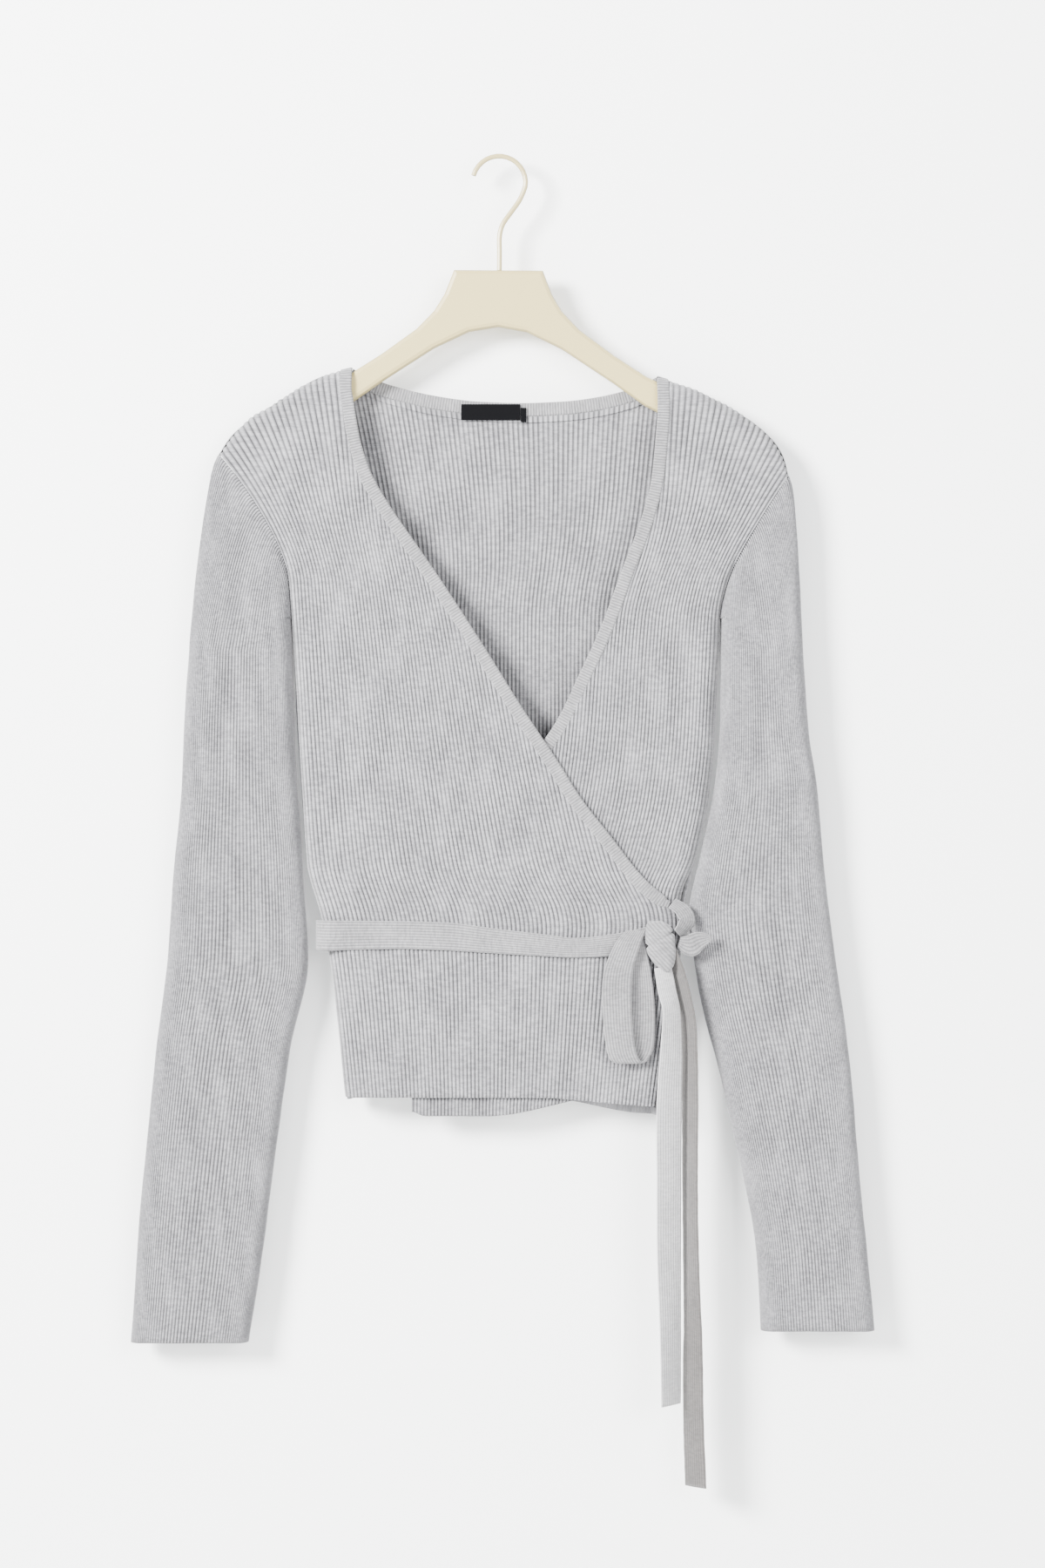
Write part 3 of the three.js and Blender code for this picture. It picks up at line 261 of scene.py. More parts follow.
def shoulder_seam(shoulder, end, sign):
    """Rows (x, 0, z) of a shoulder from the armhole to x = end; sign is the way towards the neck."""
    rows = [(x, 0, z) for x, z in zip(shoulder["x"], shoulder["z"])][::-1]
    return [row for row in rows if sign * (end - row[0]) > 0] + [(end, 0, float(shoulder_height(end)))]


def front_family(plan):
    """x of a rib at a height, for a front. Past the neck the ribs go on beside the last one."""
    sign, neck, shoulder = plan["sign"], plan["neck"], plan["shoulder"]
    side_x = lambda z: through(plan["side"], "x", z) + sign * plan["drop_side"](z)
    top_x = float(band_edge(neck, neck["z"][0] - 4, -sign)) - sign
    seam = shoulder_seam(shoulder, top_x, sign)
    top_z, corner = seam[-1][2], neck["z"][-1]

    def start(ribs):
        on_seam = along(seam, np.clip(ribs / plan["shoulder_ribs"], 0, 1))
        past = np.maximum(0, ribs - plan["shoulder_ribs"])
        return on_seam[..., 0] + sign * past * NECK_PITCH, on_seam[..., 2]

    def rib_x(ribs, z):
        level = chest_level(z)
        low = np.abs(plan["far"](level) - side_x(level)) / plan["ribs"]
        pitch = lerp(through(plan["pitch"], "pitch", level), low, smoothstep(-z, -corner, 546))
        straight = side_x(level) + sign * ribs * pitch
        x, top = start(ribs)
        return leaning(z, x, top, straight, np.minimum(1, ribs / plan["shoulder_ribs"]), LEAN_END)

    return start, rib_x, top_z, side_x

# %% [markdown]
# ## A front as a grid of points

# %%
def surface_normals(surface, x, z, side, step=0.25):
    """Outward normals of y = surface(x, z); side is the sign of y on the outside."""
    along_x = (surface(x + step, z) - surface(x - step, z)) / (2 * step)
    along_z = (surface(x, z + step) - surface(x, z - step)) / (2 * step)
    n = np.stack([-side * along_x, np.full(x.shape, float(side)), -side * along_z], -1)
    return n / np.linalg.norm(n, axis=-1, keepdims=True)


def front_points(plan, ribs, rows):
    """Points (row, rib, xyz) of a front. rows run from 0 at the top to 1 at the hem."""
    sign, neck = plan["sign"], plan["neck"]
    start, rib_x, neck_top, side_x = front_family(plan)
    high, low = np.full(ribs.shape, neck_top), np.full(ribs.shape, neck["z"][-1])
    for _ in range(40):  # halving finds the height where a rib runs in under the neck band
        z = (high + low) / 2
        inside = sign * (band_edge(neck, z, -sign, BAND_WIDTH - 1.2) - rib_x(ribs, z)) > 0
        low, high = np.where(inside, z, low), np.where(inside, high, z)
    top_z = np.where(ribs <= plan["shoulder_ribs"], start(ribs)[1], low)
    z = row_heights(rows, top_z, plan["hem"](ribs))
    x = rib_x(ribs, z)
    near, far = side_x(z), np.full(z.shape, 1e3 * sign)  # far out: no rounding at that edge
    if plan["far_round"]:
        far = plan["far"](np.minimum(z, neck["z"][-1]))
    left, right = (near, far) if sign > 0 else (far, near)

    def surface(x, z):
        depth = panel_depth("front", FRONT_FOLDS, x, z, left, right)
        return -np.maximum(LEAST_DEPTH, depth - plan["drop"](z) * rounded(depth))

    return np.stack([x, surface(x, z), z], -1), surface_normals(surface, x, z, -1)


NEAR_LENGTH, NEAR_SHARE = 26, 0.08


def row_heights(rows, top, bottom):
    """Rows close together where the cloth rounds over the top edge, then evenly down."""
    length = top - bottom
    near = NEAR_LENGTH * np.minimum(1, length / 120)
    first = near * np.clip(rows / NEAR_SHARE, 0, 1)[:, None] ** 1.8
    rest = (length - near) * np.clip((rows - NEAR_SHARE) / (1 - NEAR_SHARE), 0, 1)[:, None]
    return top - first - rest

# %% [markdown]
# ## The back as a grid of points
# Ribs run from side seam to side seam. Those under the neck end at its band, with their places on
# the shoulders left and right of it.

# %%
BACK_RIBS, BACK_SHOULDER_RIBS = 108, 22
BACK_HEM = dict(left=-648.0, right=-659.0)


def back_points(ribs, rows):
    neck_left, neck_right = LEFT_SHOULDER["x"][0] - BAND_WIDTH, RIGHT_SHOULDER["x"][0] + BAND_WIDTH
    left, right = shoulder_seam(LEFT_SHOULDER, neck_left, 1), shoulder_seam(RIGHT_SHOULDER, neck_right, -1)
    on_left = along(left, np.clip(ribs / BACK_SHOULDER_RIBS, 0, 1))
    on_right = along(right, np.clip((BACK_RIBS - ribs) / BACK_SHOULDER_RIBS, 0, 1))
    share = (ribs - BACK_SHOULDER_RIBS) / (BACK_RIBS - 2 * BACK_SHOULDER_RIBS)
    x = lerp(neck_left, neck_right, share)
    from_end = np.minimum(x - neck_left, neck_right - x)
    drop = (BAND_WIDTH + 2 * SEAM) * smoothstep(from_end, 0, BAND_WIDTH)
    z = np.minimum(shoulder_height(x), through(BACK_NECK, "z", x, "x")) - drop
    at_neck = np.stack([x, 0 * x, z], -1)
    tops = np.where((share < 0)[:, None], on_left, np.where((share > 1)[:, None], on_right, at_neck))
    inwards = np.clip(np.minimum(ribs, BACK_RIBS - ribs) / BACK_SHOULDER_RIBS, 0, 1)
    falling = smoothstep(ribs / BACK_RIBS, 0.62, 0.98)
    z = row_heights(rows, tops[:, 2], lerp(BACK_HEM["left"], BACK_HEM["right"], falling))
    level = chest_level(z)
    across = lerp(through(LEFT_SIDE, "x", level), through(RIGHT_SIDE, "x", level), ribs / BACK_RIBS)
    x = leaning(z, tops[:, 0], tops[:, 2], across, inwards, LEAN_END)
    left, right = through(LEFT_SIDE, "x", z), through(RIGHT_SIDE, "x", z)
    surface = lambda x, z: panel_depth("back", BACK_FOLDS, x, z, left, right)
    return np.stack([x, surface(x, z), z], -1), surface_normals(surface, x, z, 1)

# %% [markdown]
# ## A sleeve as a grid of points
# A sleeve is a flat tube. Its top edge is the armhole of the panels; ribs run from there to
# the cuff, from the outer fold over the front to the inner fold and back behind. A swept circle
# would be simpler, but its top could not follow the armhole.

# %%
def armhole(points, sign):
    """A panel's own side column from the shoulder down to the underarm, as the sleeve meets it."""
    edge = points[points[:, 2] > UNDERARM - 2].copy()
    edge[:, 0] += sign * SEAM
    edge[:, 2] -= SEAM
    edge[0, 1] = edge[-1, 1] = 0
    return edge


FIRST_LEVEL = -340.0  # from here down the rows of a sleeve are level
TOP_SHARE = 0.28  # of the rows lie above it
CROWDING = 0.8  # how much closer the ribs stand at the two folds, from 0 to 1
LOW_DEPTH = 0.72  # of the body's depth is what a sleeve has from the elbow down


def sleeve_points(side, sleeve, front_edge, back_edge, ribs, rows):
    sign = np.sign(sleeve["outer"][0])
    behind = ribs > SLEEVE_HALF_RIBS
    share = np.where(behind, 2 * SLEEVE_HALF_RIBS - ribs, ribs) / SLEEVE_HALF_RIBS
    start = np.where(behind[:, None], along(back_edge, share), along(front_edge, share))
    spread = share - CROWDING * np.sin(2 * np.pi * share) / (2 * np.pi)
    even = lambda z: lerp(through(sleeve, "outer", z), through(sleeve, "inner", z), spread)
    is_top = rows[:, None] < TOP_SHARE
    top = np.clip(rows / TOP_SHARE, 0, 1)[:, None]
    low = np.clip((rows - TOP_SHARE) / (1 - TOP_SHARE), 0, 1)[:, None]
    level = lerp(FIRST_LEVEL, sleeve["z"].min(), low)
    z = np.where(is_top, lerp(start[:, 2], FIRST_LEVEL, top ** 1.3), level)
    x = np.where(is_top, lerp(start[:, 0], even(FIRST_LEVEL), top ** 0.8), even(z))
    outer = through(sleeve, "outer", z)
    seam = np.where(z > UNDERARM, through(side, "x", z), through(sleeve, "inner", z))
    valley = smoothstep(CHEST - z, 0, CHEST - UNDERARM)
    from_outer = rounded(np.maximum(0, (x - outer) * -sign))
    from_inner = rounded(np.maximum(0, (seam - x) * -sign))
    full = np.where(behind, through(DEPTHS, "back", z), through(DEPTHS, "front", z))
    depth = (full + fold_height(SLEEVE_FOLDS, x, z)) * lerp(1, LOW_DEPTH, smoothstep(-z, 330, 520))
    y = depth * from_outer * lerp(1, from_inner, valley) * np.where(behind, 1, -1)
    y = lerp(start[:, 1], y, smoothstep(top, 0, 0.12))
    return np.stack([x, y, z], -1)

# %% [markdown]
# ## Turned-in edges
# Real cloth has no raw edge: seams and hems turn in. `with_edges` does that to a grid, so an edge
# looks as thick as cloth is.

# %%
def normals_of(points):
    """Normals of a tube of points, whose last column meets the first."""
    across = np.roll(points, -1, 1) - np.roll(points, 1, 1)
    n = np.cross(across, np.gradient(points, axis=0))
    return n / np.maximum(np.linalg.norm(n, axis=-1, keepdims=True), 1e-12)


# for each edge: its axis, its line, and a line further in that shows which way the cloth runs
EDGES = dict(top=(0, 0, 3), bottom=(0, -1, -4), left=(1, 0, 6), right=(1, -1, -7))
UNDER_DEPTH, UNDER_REACH = 1.1, 5.0


def with_edges(points, normals, uv, furrow, edges):
    """The grid with two more lines past each named edge: round it, and back in under the cloth. A bottom edge
    gets no painted furrow shade there, so it stays lighter."""
    for edge in edges:
        axis, line, inner = EDGES[edge]
        pick = lambda a: np.take(a, [line], axis)
        put = lambda a, first, second: np.concatenate(
            [second, first, a] if line == 0 else [a, first, second], axis)
        rim, normal = pick(points), pick(normals)
        back = np.take(points, [inner], axis) - rim
        back = back / np.maximum(np.linalg.norm(back, axis=-1, keepdims=True), 1e-9)
        points = put(points, rim - normal * UNDER_DEPTH * 0.6 - back * UNDER_DEPTH * 0.1,
                     rim - normal * UNDER_DEPTH + back * UNDER_REACH)
        # painted shade for the two new lines, the same as the edge's own; none at a bottom edge
        shade = pick(furrow) * (0 if edge == "bottom" else 1)
        normals, uv = put(normals, normal, normal), put(uv, pick(uv), pick(uv))
        furrow = put(furrow, shade, shade)
    return points, uv, furrow

# %% [markdown]
# ## A mesh from a grid of points
# `mesh_object` writes a UV map in metres and a `furrow` value, which the materials turn into painted shade in
# the furrows.

# %%
def mesh_object(name, points, uv, furrow, material, round_=False):
    """points (row, column, xyz) in millimetres; round_ joins the last column to the first."""
    rows, columns = points.shape[:2]
    mesh = bpy.data.meshes.new(name)
    index = np.arange(rows * columns).reshape(rows, columns)
    if round_:
        index = np.concatenate([index, index[:, :1]], 1)
    corners = [index[:-1, :-1], index[1:, :-1], index[1:, 1:], index[:-1, 1:]]
    quads = np.stack(corners, -1).reshape(-1, 4)
    mesh.vertices.add(rows * columns)
    mesh.vertices.foreach_set("co", (points * MM).reshape(-1).astype(np.float32))
    mesh.loops.add(quads.size)
    mesh.loops.foreach_set("vertex_index", quads.reshape(-1).astype(np.int32))
    mesh.polygons.add(len(quads))
    mesh.polygons.foreach_set("loop_start", (np.arange(len(quads)) * 4).astype(np.int32))
    mesh.update(calc_edges=True)
    mesh.validate()
    layer = mesh.uv_layers.new(name="UVMap")
    flat_uv = uv.reshape(-1, 2)[quads.reshape(-1)]
    if round_:
        # The last strip runs on past the seam, so its far side gets the next place round.
        far = np.arange(quads.size).reshape(rows - 1, columns, 4)[:, -1, 2:].reshape(-1)
        flat_uv[far, 0] = 2 * uv[0, -1, 0] - uv[0, -2, 0]
    layer.data.foreach_set("uv", (flat_uv * MM).reshape(-1).astype(np.float32))
    # the furrow attribute is the mask for painted shade in the materials
    values = mesh.attributes.new("furrow", "FLOAT", "POINT")
    values.data.foreach_set("value", furrow.reshape(-1).astype(np.float32))
    mesh.polygons.foreach_set("use_smooth", np.ones(len(quads), bool))
    mesh.materials.append(material)
    obj = bpy.data.objects.new(name, mesh)
    bpy.context.scene.collection.objects.link(obj)
    print(name, len(quads), "faces,", np.round(np.ptp(points, axis=(0, 1))).astype(int), "mm")
    return obj

# %% [markdown]
# ## Rib knit
# `knit_panel` pushes every furrow between two ribs in along the surface's own normal. A bump in
# the material would be lighter, but it leaves the hem and the outline straight.

# %%
def waves(a, b, count, longest, seed):
    """A soft uneven surface: a sum of a few slow waves, about -1 to 1."""
    source = np.random.default_rng(seed)
    total = np.zeros(np.broadcast(a, b).shape)
    for _ in range(count):
        turn, length = source.uniform(0, 2 * np.pi), longest * source.uniform(0.35, 1)
        along_it = a * np.cos(turn) + b * np.sin(turn)
        total = total + np.sin(2 * np.pi * along_it / length + source.uniform(0, 6.3))
    return total / math.sqrt(count)


FURROW = 0.85  # the greatest depth of a furrow
COLUMNS_PER_RIB = 6


def rib_columns(first, last, per_rib=COLUMNS_PER_RIB):
    return np.linspace(first, last, int(round((last - first) * per_rib)) + 1)


def knit_panel(name, points, normals, ribs, material, edges, seed, narrow=2.4, pitch=2.6, round_=False):
    """Rib knit on a grid of points, with the furrows pushed in along the normals. A higher
    narrow makes the furrows narrower; pitch is a rib's width on the UV map."""
    furrow = ((1 - np.cos(2 * np.pi * ribs)) / 2) ** narrow
    furrow = np.broadcast_to(furrow, points.shape[:2]).copy()
    x, z = points[..., 0], points[..., 2]
    furrow *= np.clip(0.92 + 0.11 * waves(x, z * 0.2, 8, 20, seed + 2), 0.5, 1)
    uneven = 0.4 * waves(x * 1.4, z * 0.5, 7, 90, seed) + 0.08 * waves(x, z * 0.35, 9, 14, seed + 1)
    rib_width = np.linalg.norm(np.gradient(points, axis=1), axis=-1) / np.gradient(ribs)
    height = uneven - np.minimum(FURROW, 0.3 * rib_width) * furrow
    moved = points + normals * height[..., None]
    uv = np.stack([np.broadcast_to(ribs * pitch, x.shape), z], -1)
    moved, uv, furrow = with_edges(moved, normals, uv, furrow, edges)
    # the furrow values also go to the mesh, as the mask for painted shade in the furrows
    return mesh_object(name, moved, uv, furrow, material, round_)

# %% [markdown]
# ## Materials
# A pale lilac grey melange: short streaks of lighter and darker yarn lie along the courses. The furrows
# between ribs get painted shade: each mesh's `furrow` value multiplies the colour towards near black. The
# tapes are a finer and smoother knit of the same yarn; a lighter copy paints light on the left tail and a
# darker copy paints shade on the right tail. The melange is noise on the UV map, so it follows each piece as
# yarn does.

# %%
def shader(name, colour, rough):
    m = bpy.data.materials.new(name)
    m.use_nodes = True
    b = m.node_tree.nodes["Principled BSDF"]
    b.inputs["Base Color"].default_value = (*colour, 1)
    b.inputs["Roughness"].default_value = rough
    return m, m.node_tree, b


def node(tree, kind, **values):
    n = tree.nodes.new(kind)
    for name, value in values.items():
        if hasattr(n, name):
            setattr(n, name, value)
        else:
            n.inputs[name.replace("_", " ")].default_value = value
    return n


MELANGE = 0.12  # half the range of the noise between the darker and the lighter yarn


def object_relief(tree, b, kind, strength, distance, **values):
    """A bump from a texture on the object's own coordinates."""
    texture = node(tree, kind, **values)
    where = node(tree, "ShaderNodeTexCoord")
    tree.links.new(where.outputs["Object"], texture.inputs["Vector"])
    bump = node(tree, "ShaderNodeBump", Strength=strength, Distance=distance)
    tree.links.new(texture.outputs["Fac"], bump.inputs["Height"])
    tree.links.new(bump.outputs["Normal"], b.inputs["Normal"])


def knit_material(name, light, dark, course, furrow_shade, bump):
    """course is the height of one row of stitches in metres."""
    m, tree, b = shader(name, light, 0.95)
    link = tree.links.new
    uv = node(tree, "ShaderNodeUVMap", uv_map="UVMap")
    stretch = node(tree, "ShaderNodeMapping")
    stretch.inputs["Scale"].default_value = (170, 1 / course / 1.6, 1)
    link(uv.outputs["UV"], stretch.inputs["Vector"])
    yarn = node(tree, "ShaderNodeTexNoise", Scale=1.0, Detail=3.0, Roughness=0.7)
    link(stretch.outputs["Vector"], yarn.inputs["Vector"])
    wide = node(tree, "ShaderNodeTexNoise", Scale=38.0, Detail=2.0)
    link(uv.outputs["UV"], wide.inputs["Vector"])
    both = node(tree, "ShaderNodeMix", data_type="FLOAT")
    both.inputs[0].default_value = 0.3
    link(yarn.outputs["Fac"], both.inputs[2])
    link(wide.outputs["Fac"], both.inputs[3])
    spread = node(tree, "ShaderNodeMapRange")
    for key, value in (("From Min", 0.5 - MELANGE), ("From Max", 0.5 + MELANGE)):
        spread.inputs[key].default_value = value
    link(both.outputs[0], spread.inputs["Value"])
    colour = node(tree, "ShaderNodeMix", data_type="RGBA")
    colour.inputs[6].default_value = (*dark, 1)
    colour.inputs[7].default_value = (*light, 1)
    link(spread.outputs["Result"], colour.inputs[0])
    # painted shade: the furrow value, scaled by furrow_shade, multiplies the colour towards near black in the
    # furrows between ribs
    furrow = node(tree, "ShaderNodeAttribute", attribute_name="furrow")
    shade = node(tree, "ShaderNodeMix", data_type="RGBA", blend_type="MULTIPLY")
    amount = node(tree, "ShaderNodeMath", operation="MULTIPLY")
    amount.inputs[1].default_value = furrow_shade
    link(furrow.outputs["Fac"], amount.inputs[0])
    link(amount.outputs[0], shade.inputs[0])
    link(colour.outputs[2], shade.inputs[6])
    shade.inputs[7].default_value = (0.03, 0.029, 0.033, 1)
    link(shade.outputs[2], b.inputs["Base Color"])
    rows = node(tree, "ShaderNodeTexWave", wave_type="BANDS", bands_direction="Y", Scale=0.5 / course)
    rows.inputs["Distortion"].default_value = 1.2
    rows.inputs["Detail Scale"].default_value = 2.0
    link(uv.outputs["UV"], rows.inputs["Vector"])
    fibre = node(tree, "ShaderNodeMath", operation="ADD")
    link(rows.outputs["Fac"], fibre.inputs[0])
    link(yarn.outputs["Fac"], fibre.inputs[1])
    relief = node(tree, "ShaderNodeBump", Strength=bump, Distance=0.0004)
    link(fibre.outputs[0], relief.inputs["Height"])
    link(relief.outputs["Normal"], b.inputs["Normal"])
    b.inputs["Sheen Weight"].default_value = 0.35
    b.inputs["Sheen Roughness"].default_value = 0.6
    b.inputs["Specular IOR Level"].default_value = 0.15
    return m


knit = knit_material("rib_knit", (0.295, 0.291, 0.303), (0.155, 0.152, 0.162), 0.0016, 1.0, 0.5)
tape = knit_material("fine_tape", (0.275, 0.270, 0.276), (0.165, 0.162, 0.167), 0.0011, 0.6, 0.35)
# lit and shaded copies of the tape: a lighter one with painted light for the left tail, a darker one with
# painted shade for the right tail
tape_painted_light = knit_material("fine_tape_painted_light", (0.50, 0.493, 0.497), (0.37, 0.364, 0.368), 0.0011, 0.5, 0.35)
tape_painted_shade = knit_material("fine_tape_painted_shade", (0.100, 0.091, 0.086), (0.062, 0.056, 0.053), 0.0011,
                             0.5, 0.35)
print("yarns:", [material.name for material in (knit, tape, tape_painted_light, tape_painted_shade)])

# %% [markdown]
# ## The two fronts
# Each front of a knitted wrap is one panel with its ribs running down, and its neck edge cut on a
# long slant. It could be a plain sheet with ribs in its material alone, but the ribs show at the
# hem and in every shadow, so each is geometry. The front that lies below needs few columns where
# the upper one hides it.

# %%
over_ribs = rib_columns(0, OVER["ribs"])
over_points, over_normals = front_points(OVER, over_ribs, np.linspace(0, 1, 145))
over = knit_panel("over_front", over_points, over_normals, over_ribs, knit, ("left", "bottom", "top"), 3)

under_ribs = np.concatenate([rib_columns(0, 48), rib_columns(48, 70, 2)[1:]])
under_points, under_normals = front_points(UNDER, under_ribs, np.linspace(0, 1, 135))
under = knit_panel("under_front", under_points, under_normals, under_ribs, knit, ("left", "bottom", "top"), 5)

# %% [markdown]
# ## The back and the sleeves
# The back is one panel, lower at its right hem. A sleeve is knitted flat and closed into a tube;
# hung flat it has a fold on each side. It starts at the side columns of the panels that are
# already made, so the pieces meet at the armhole as a seam does.

# %%
back_ribs = rib_columns(0, BACK_RIBS, 5)
back_shape, back_normals = back_points(back_ribs, np.linspace(0, 1, 130))
back = knit_panel("back_panel", back_shape, back_normals, back_ribs, knit,
                  ("left", "right", "bottom", "top"), 7, narrow=2.0, pitch=2.9)

sleeve_ribs = rib_columns(0, 2 * SLEEVE_HALF_RIBS, 4)[:-1]
sleeve_rows = np.concatenate([np.linspace(0, TOP_SHARE, 50)[:-1], np.linspace(TOP_SHARE, 1, 100)])


def knit_sleeve(name, side, sleeve, front_edge, back_edge, sign, seed, narrow):
    shape = sleeve_points(side, sleeve, armhole(front_edge, sign), armhole(back_edge, sign), sleeve_ribs,
                          sleeve_rows)
    return knit_panel(name, shape, sign * normals_of(shape), sleeve_ribs, knit, ("bottom",), seed,
                      narrow=narrow, pitch=2.4, round_=True)


left_sleeve = knit_sleeve("left_sleeve", LEFT_SIDE, LEFT_SLEEVE, over_points[:, 0], back_shape[:, 0],
                          -1, 9, 1.1)
right_sleeve = knit_sleeve("right_sleeve", RIGHT_SIDE, RIGHT_SLEEVE, under_points[:, 0], back_shape[:, -1],
                           1, 10, 1.6)

# %% [markdown]
# ## Tapes
# The bands, the belt and its bow are narrow tapes. A curve with a bevel would twist where it
# likes, so a tape here is a path with a stated direction across it. Its section is a flat loop
# with rounded edges and fine ribs.

# %%
TAPE_RELIEF, COURSE = 0.16, 1.9  # depth of a tape's own fine ribs, and a band's way from rib to rib


def tape_object(name, centre, across, width, thickness, seed, lines=9, across_ribs=False, turned=0.0,
                material=tape, leans=False):
    """centre and across are (n, 3); width is a number or one value for each row. lines is the
    number of ribs along the tape, unless across_ribs lays them across it; turned curls the
    edges, and leans keeps across as it is where it isn't square to the path."""
    count = len(centre)
    width = np.broadcast_to(np.asarray(width, float), count)[:, None]
    path = np.gradient(centre, axis=0)
    path /= np.linalg.norm(path, axis=1, keepdims=True)
    if not leans:
        across = across - path * (across * path).sum(1, keepdims=True)
    across /= np.linalg.norm(across, axis=1, keepdims=True)
    out = np.cross(across, path)
    out /= np.linalg.norm(out, axis=1, keepdims=True)
    across, out = across[:, None], out[:, None]
    run = np.concatenate([[0], np.cumsum(np.linalg.norm(np.diff(centre, axis=0), axis=1))])[:, None]

    share = np.linspace(-1, 1, 4 * lines + 1)
    ring = lambda a: np.concatenate([a[:-1], a[::-1][:-1]])  # over the face and back behind it
    side = np.repeat([1, -1], len(share) - 1)
    edge = np.clip((1 - np.abs(share)) / 0.1, 0, 1)
    half = ring(thickness / 2 * np.sqrt(1 - (1 - edge) ** 2))
    furrow = np.zeros(len(side))
    if not across_ribs:
        furrow = ring(((1 - np.cos(np.pi * (share + 1) * lines)) / 2) ** 1.6)
    lift = side * (half - TAPE_RELIEF * furrow * (half > 0.3)) + turned * ring(share) ** 2
    points = centre[:, None] + across * (width[..., None] / 2 * ring(share)[:, None]) + out * lift[:, None]
    points += 0.1 * waves(run, np.arange(len(side)) * 0.4, 6, 22, seed)[..., None] * out
    if across_ribs:
        furrow = ((1 - np.cos(2 * np.pi * run / COURSE)) / 2) ** 1.5
        points -= TAPE_RELIEF * furrow[..., None] * (side * half / (thickness / 2))[:, None] * out
    shape = points.shape[:2]
    u = np.concatenate([(share + 1)[:-1], (share + 3)[:-1]]) * width / 2
    uv = np.stack([u, np.broadcast_to(run, shape)], -1)
    # the furrow values go to the mesh as the mask for painted shade in the tape's furrows
    obj = mesh_object(name, points, uv, np.broadcast_to(furrow, shape), material, True)
    close_ends(obj, shape)
    return obj


def close_ends(obj, shape):
    """Faces over the two cut ends of a tape, between its front and its back."""
    rows, columns = shape
    half = columns // 2
    mesh = obj.data
    work = bmesh.new()
    work.from_mesh(mesh)
    work.verts.ensure_lookup_table()
    for row, flip in ((0, False), (rows - 1, True)):
        ring = [work.verts[row * columns + k] for k in range(columns)]
        for k in range(half):
            corners = [ring[k], ring[k + 1], ring[(columns - k - 1) % columns], ring[(columns - k) % columns]]
            unique = list(dict.fromkeys(corners))
            if len(unique) > 2 and not work.faces.get(unique):
                work.faces.new(unique[::-1] if flip else unique)
    work.normal_update()
    work.to_mesh(mesh)
    work.free()

# %% [markdown]
# ## The neck's edging
# A knitted band folds over the raw edge of both fronts and of the back's neck. Its fine ribs lie
# across it, so `across_ribs` is set. It follows the same neck tables as the panels.

# %%
BAND_THICKNESS = 1.9
UPWARDS = np.array([0.0, 0.0, 1.0])


def neck_band(name, plan, seed):
    """The band between a front's free edge and the line where it is sewn on."""
    neck, sign = plan["neck"], plan["sign"]
    z = lerp(neck["z"][0], neck["z"][-1], np.linspace(0, 1, 1000) ** 1.1)
    free = through(neck, "x", z)
    sewn = band_edge(neck, z, -sign, BAND_WIDTH - SEAM)
    points = []
    for x in (free, sewn):
        level = np.minimum(z, shoulder_height(x))
        depth = body_depth("front", FRONT_FOLDS, x, level)
        depth = np.maximum(0.2, depth - plan["drop"](level) * rounded(depth))
        points.append(np.stack([x, -(depth + 0.4 * rounded(depth) - 0.7), level], -1))
    centre, across = (points[0] + points[1]) / 2, points[1] - points[0]
    path = np.gradient(centre, axis=0)
    slant = (across * path).sum(1, keepdims=True) / (path ** 2).sum(1, keepdims=True)
    width = np.linalg.norm(across - slant * path, axis=1) + 0.8
    return tape_object(name, centre, across, width, BAND_THICKNESS, seed, lines=3, across_ribs=True)


over_band = neck_band("over_band", OVER, 21)
under_band = neck_band("under_band", UNDER, 22)

# %% [markdown]
# The back's stretch joins the two others at the shoulders, so it thins out to its ends.

# %%
x = np.linspace(LEFT_SHOULDER["x"][0], RIGHT_SHOULDER["x"][0], 520)
top = through(BACK_NECK, "z", x, "x")
ends = np.minimum(x - x[0], x[-1] - x)
deep = lerp(through(DEPTHS, "back", top) * 0.12, through(DEPTHS, "back", top), smoothstep(ends, 0, 5)) - 0.7
low = lerp(BAND_WIDTH * 0.55, BAND_WIDTH + 1.4, smoothstep(ends, 0, 12))
centre = np.stack([x, np.maximum(deep, 0.2), top - low / 2], -1)
back_band = tape_object("back_band", centre, np.tile(UPWARDS, (len(x), 1)), low, BAND_THICKNESS, 23,
                        lines=3, across_ribs=True)

# %% [markdown]
# A narrow tape lies inside each shoulder seam, as many knits have one against stretching. It is a
# guess, and it closes the gap between front and back that would show from the side.

# %%
def shoulder_tape(name, shoulder, sleeve, seed):
    """From the neck along the shoulder, and a short way down under the sleeve's top fold."""
    along_x = np.linspace(shoulder["x"][0], sleeve["outer"][0], 90)
    down = sleeve["z"][0] - np.linspace(3, 16, 16)
    x = np.concatenate([along_x, through(sleeve, "outer", down) - 1.6 * np.sign(along_x[0])])
    z = np.concatenate([shoulder_height(along_x) - 1.3, down])
    width = 7.4 * np.clip(np.abs(x - x[0]) / 6 + 0.4, 0, 1)
    across = np.tile([0.0, 1.0, 0.0], (len(x), 1))
    return tape_object(name, np.stack([x, 0 * x, z], -1), across, width, 0.8, seed, lines=3)


left_tape = shoulder_tape("left_shoulder_tape", LEFT_SHOULDER, LEFT_SLEEVE, 51)
right_tape = shoulder_tape("right_shoulder_tape", RIGHT_SHOULDER, RIGHT_SLEEVE, 52)

# %% [markdown]
# ## The belt
# One long tape on the real garment. Here it has two stretches that lap at the left side: flat
# across the front from there to the knot, and round the back to the right side. Its depth is
# read from the panels below it, so it lies on them and never in them.

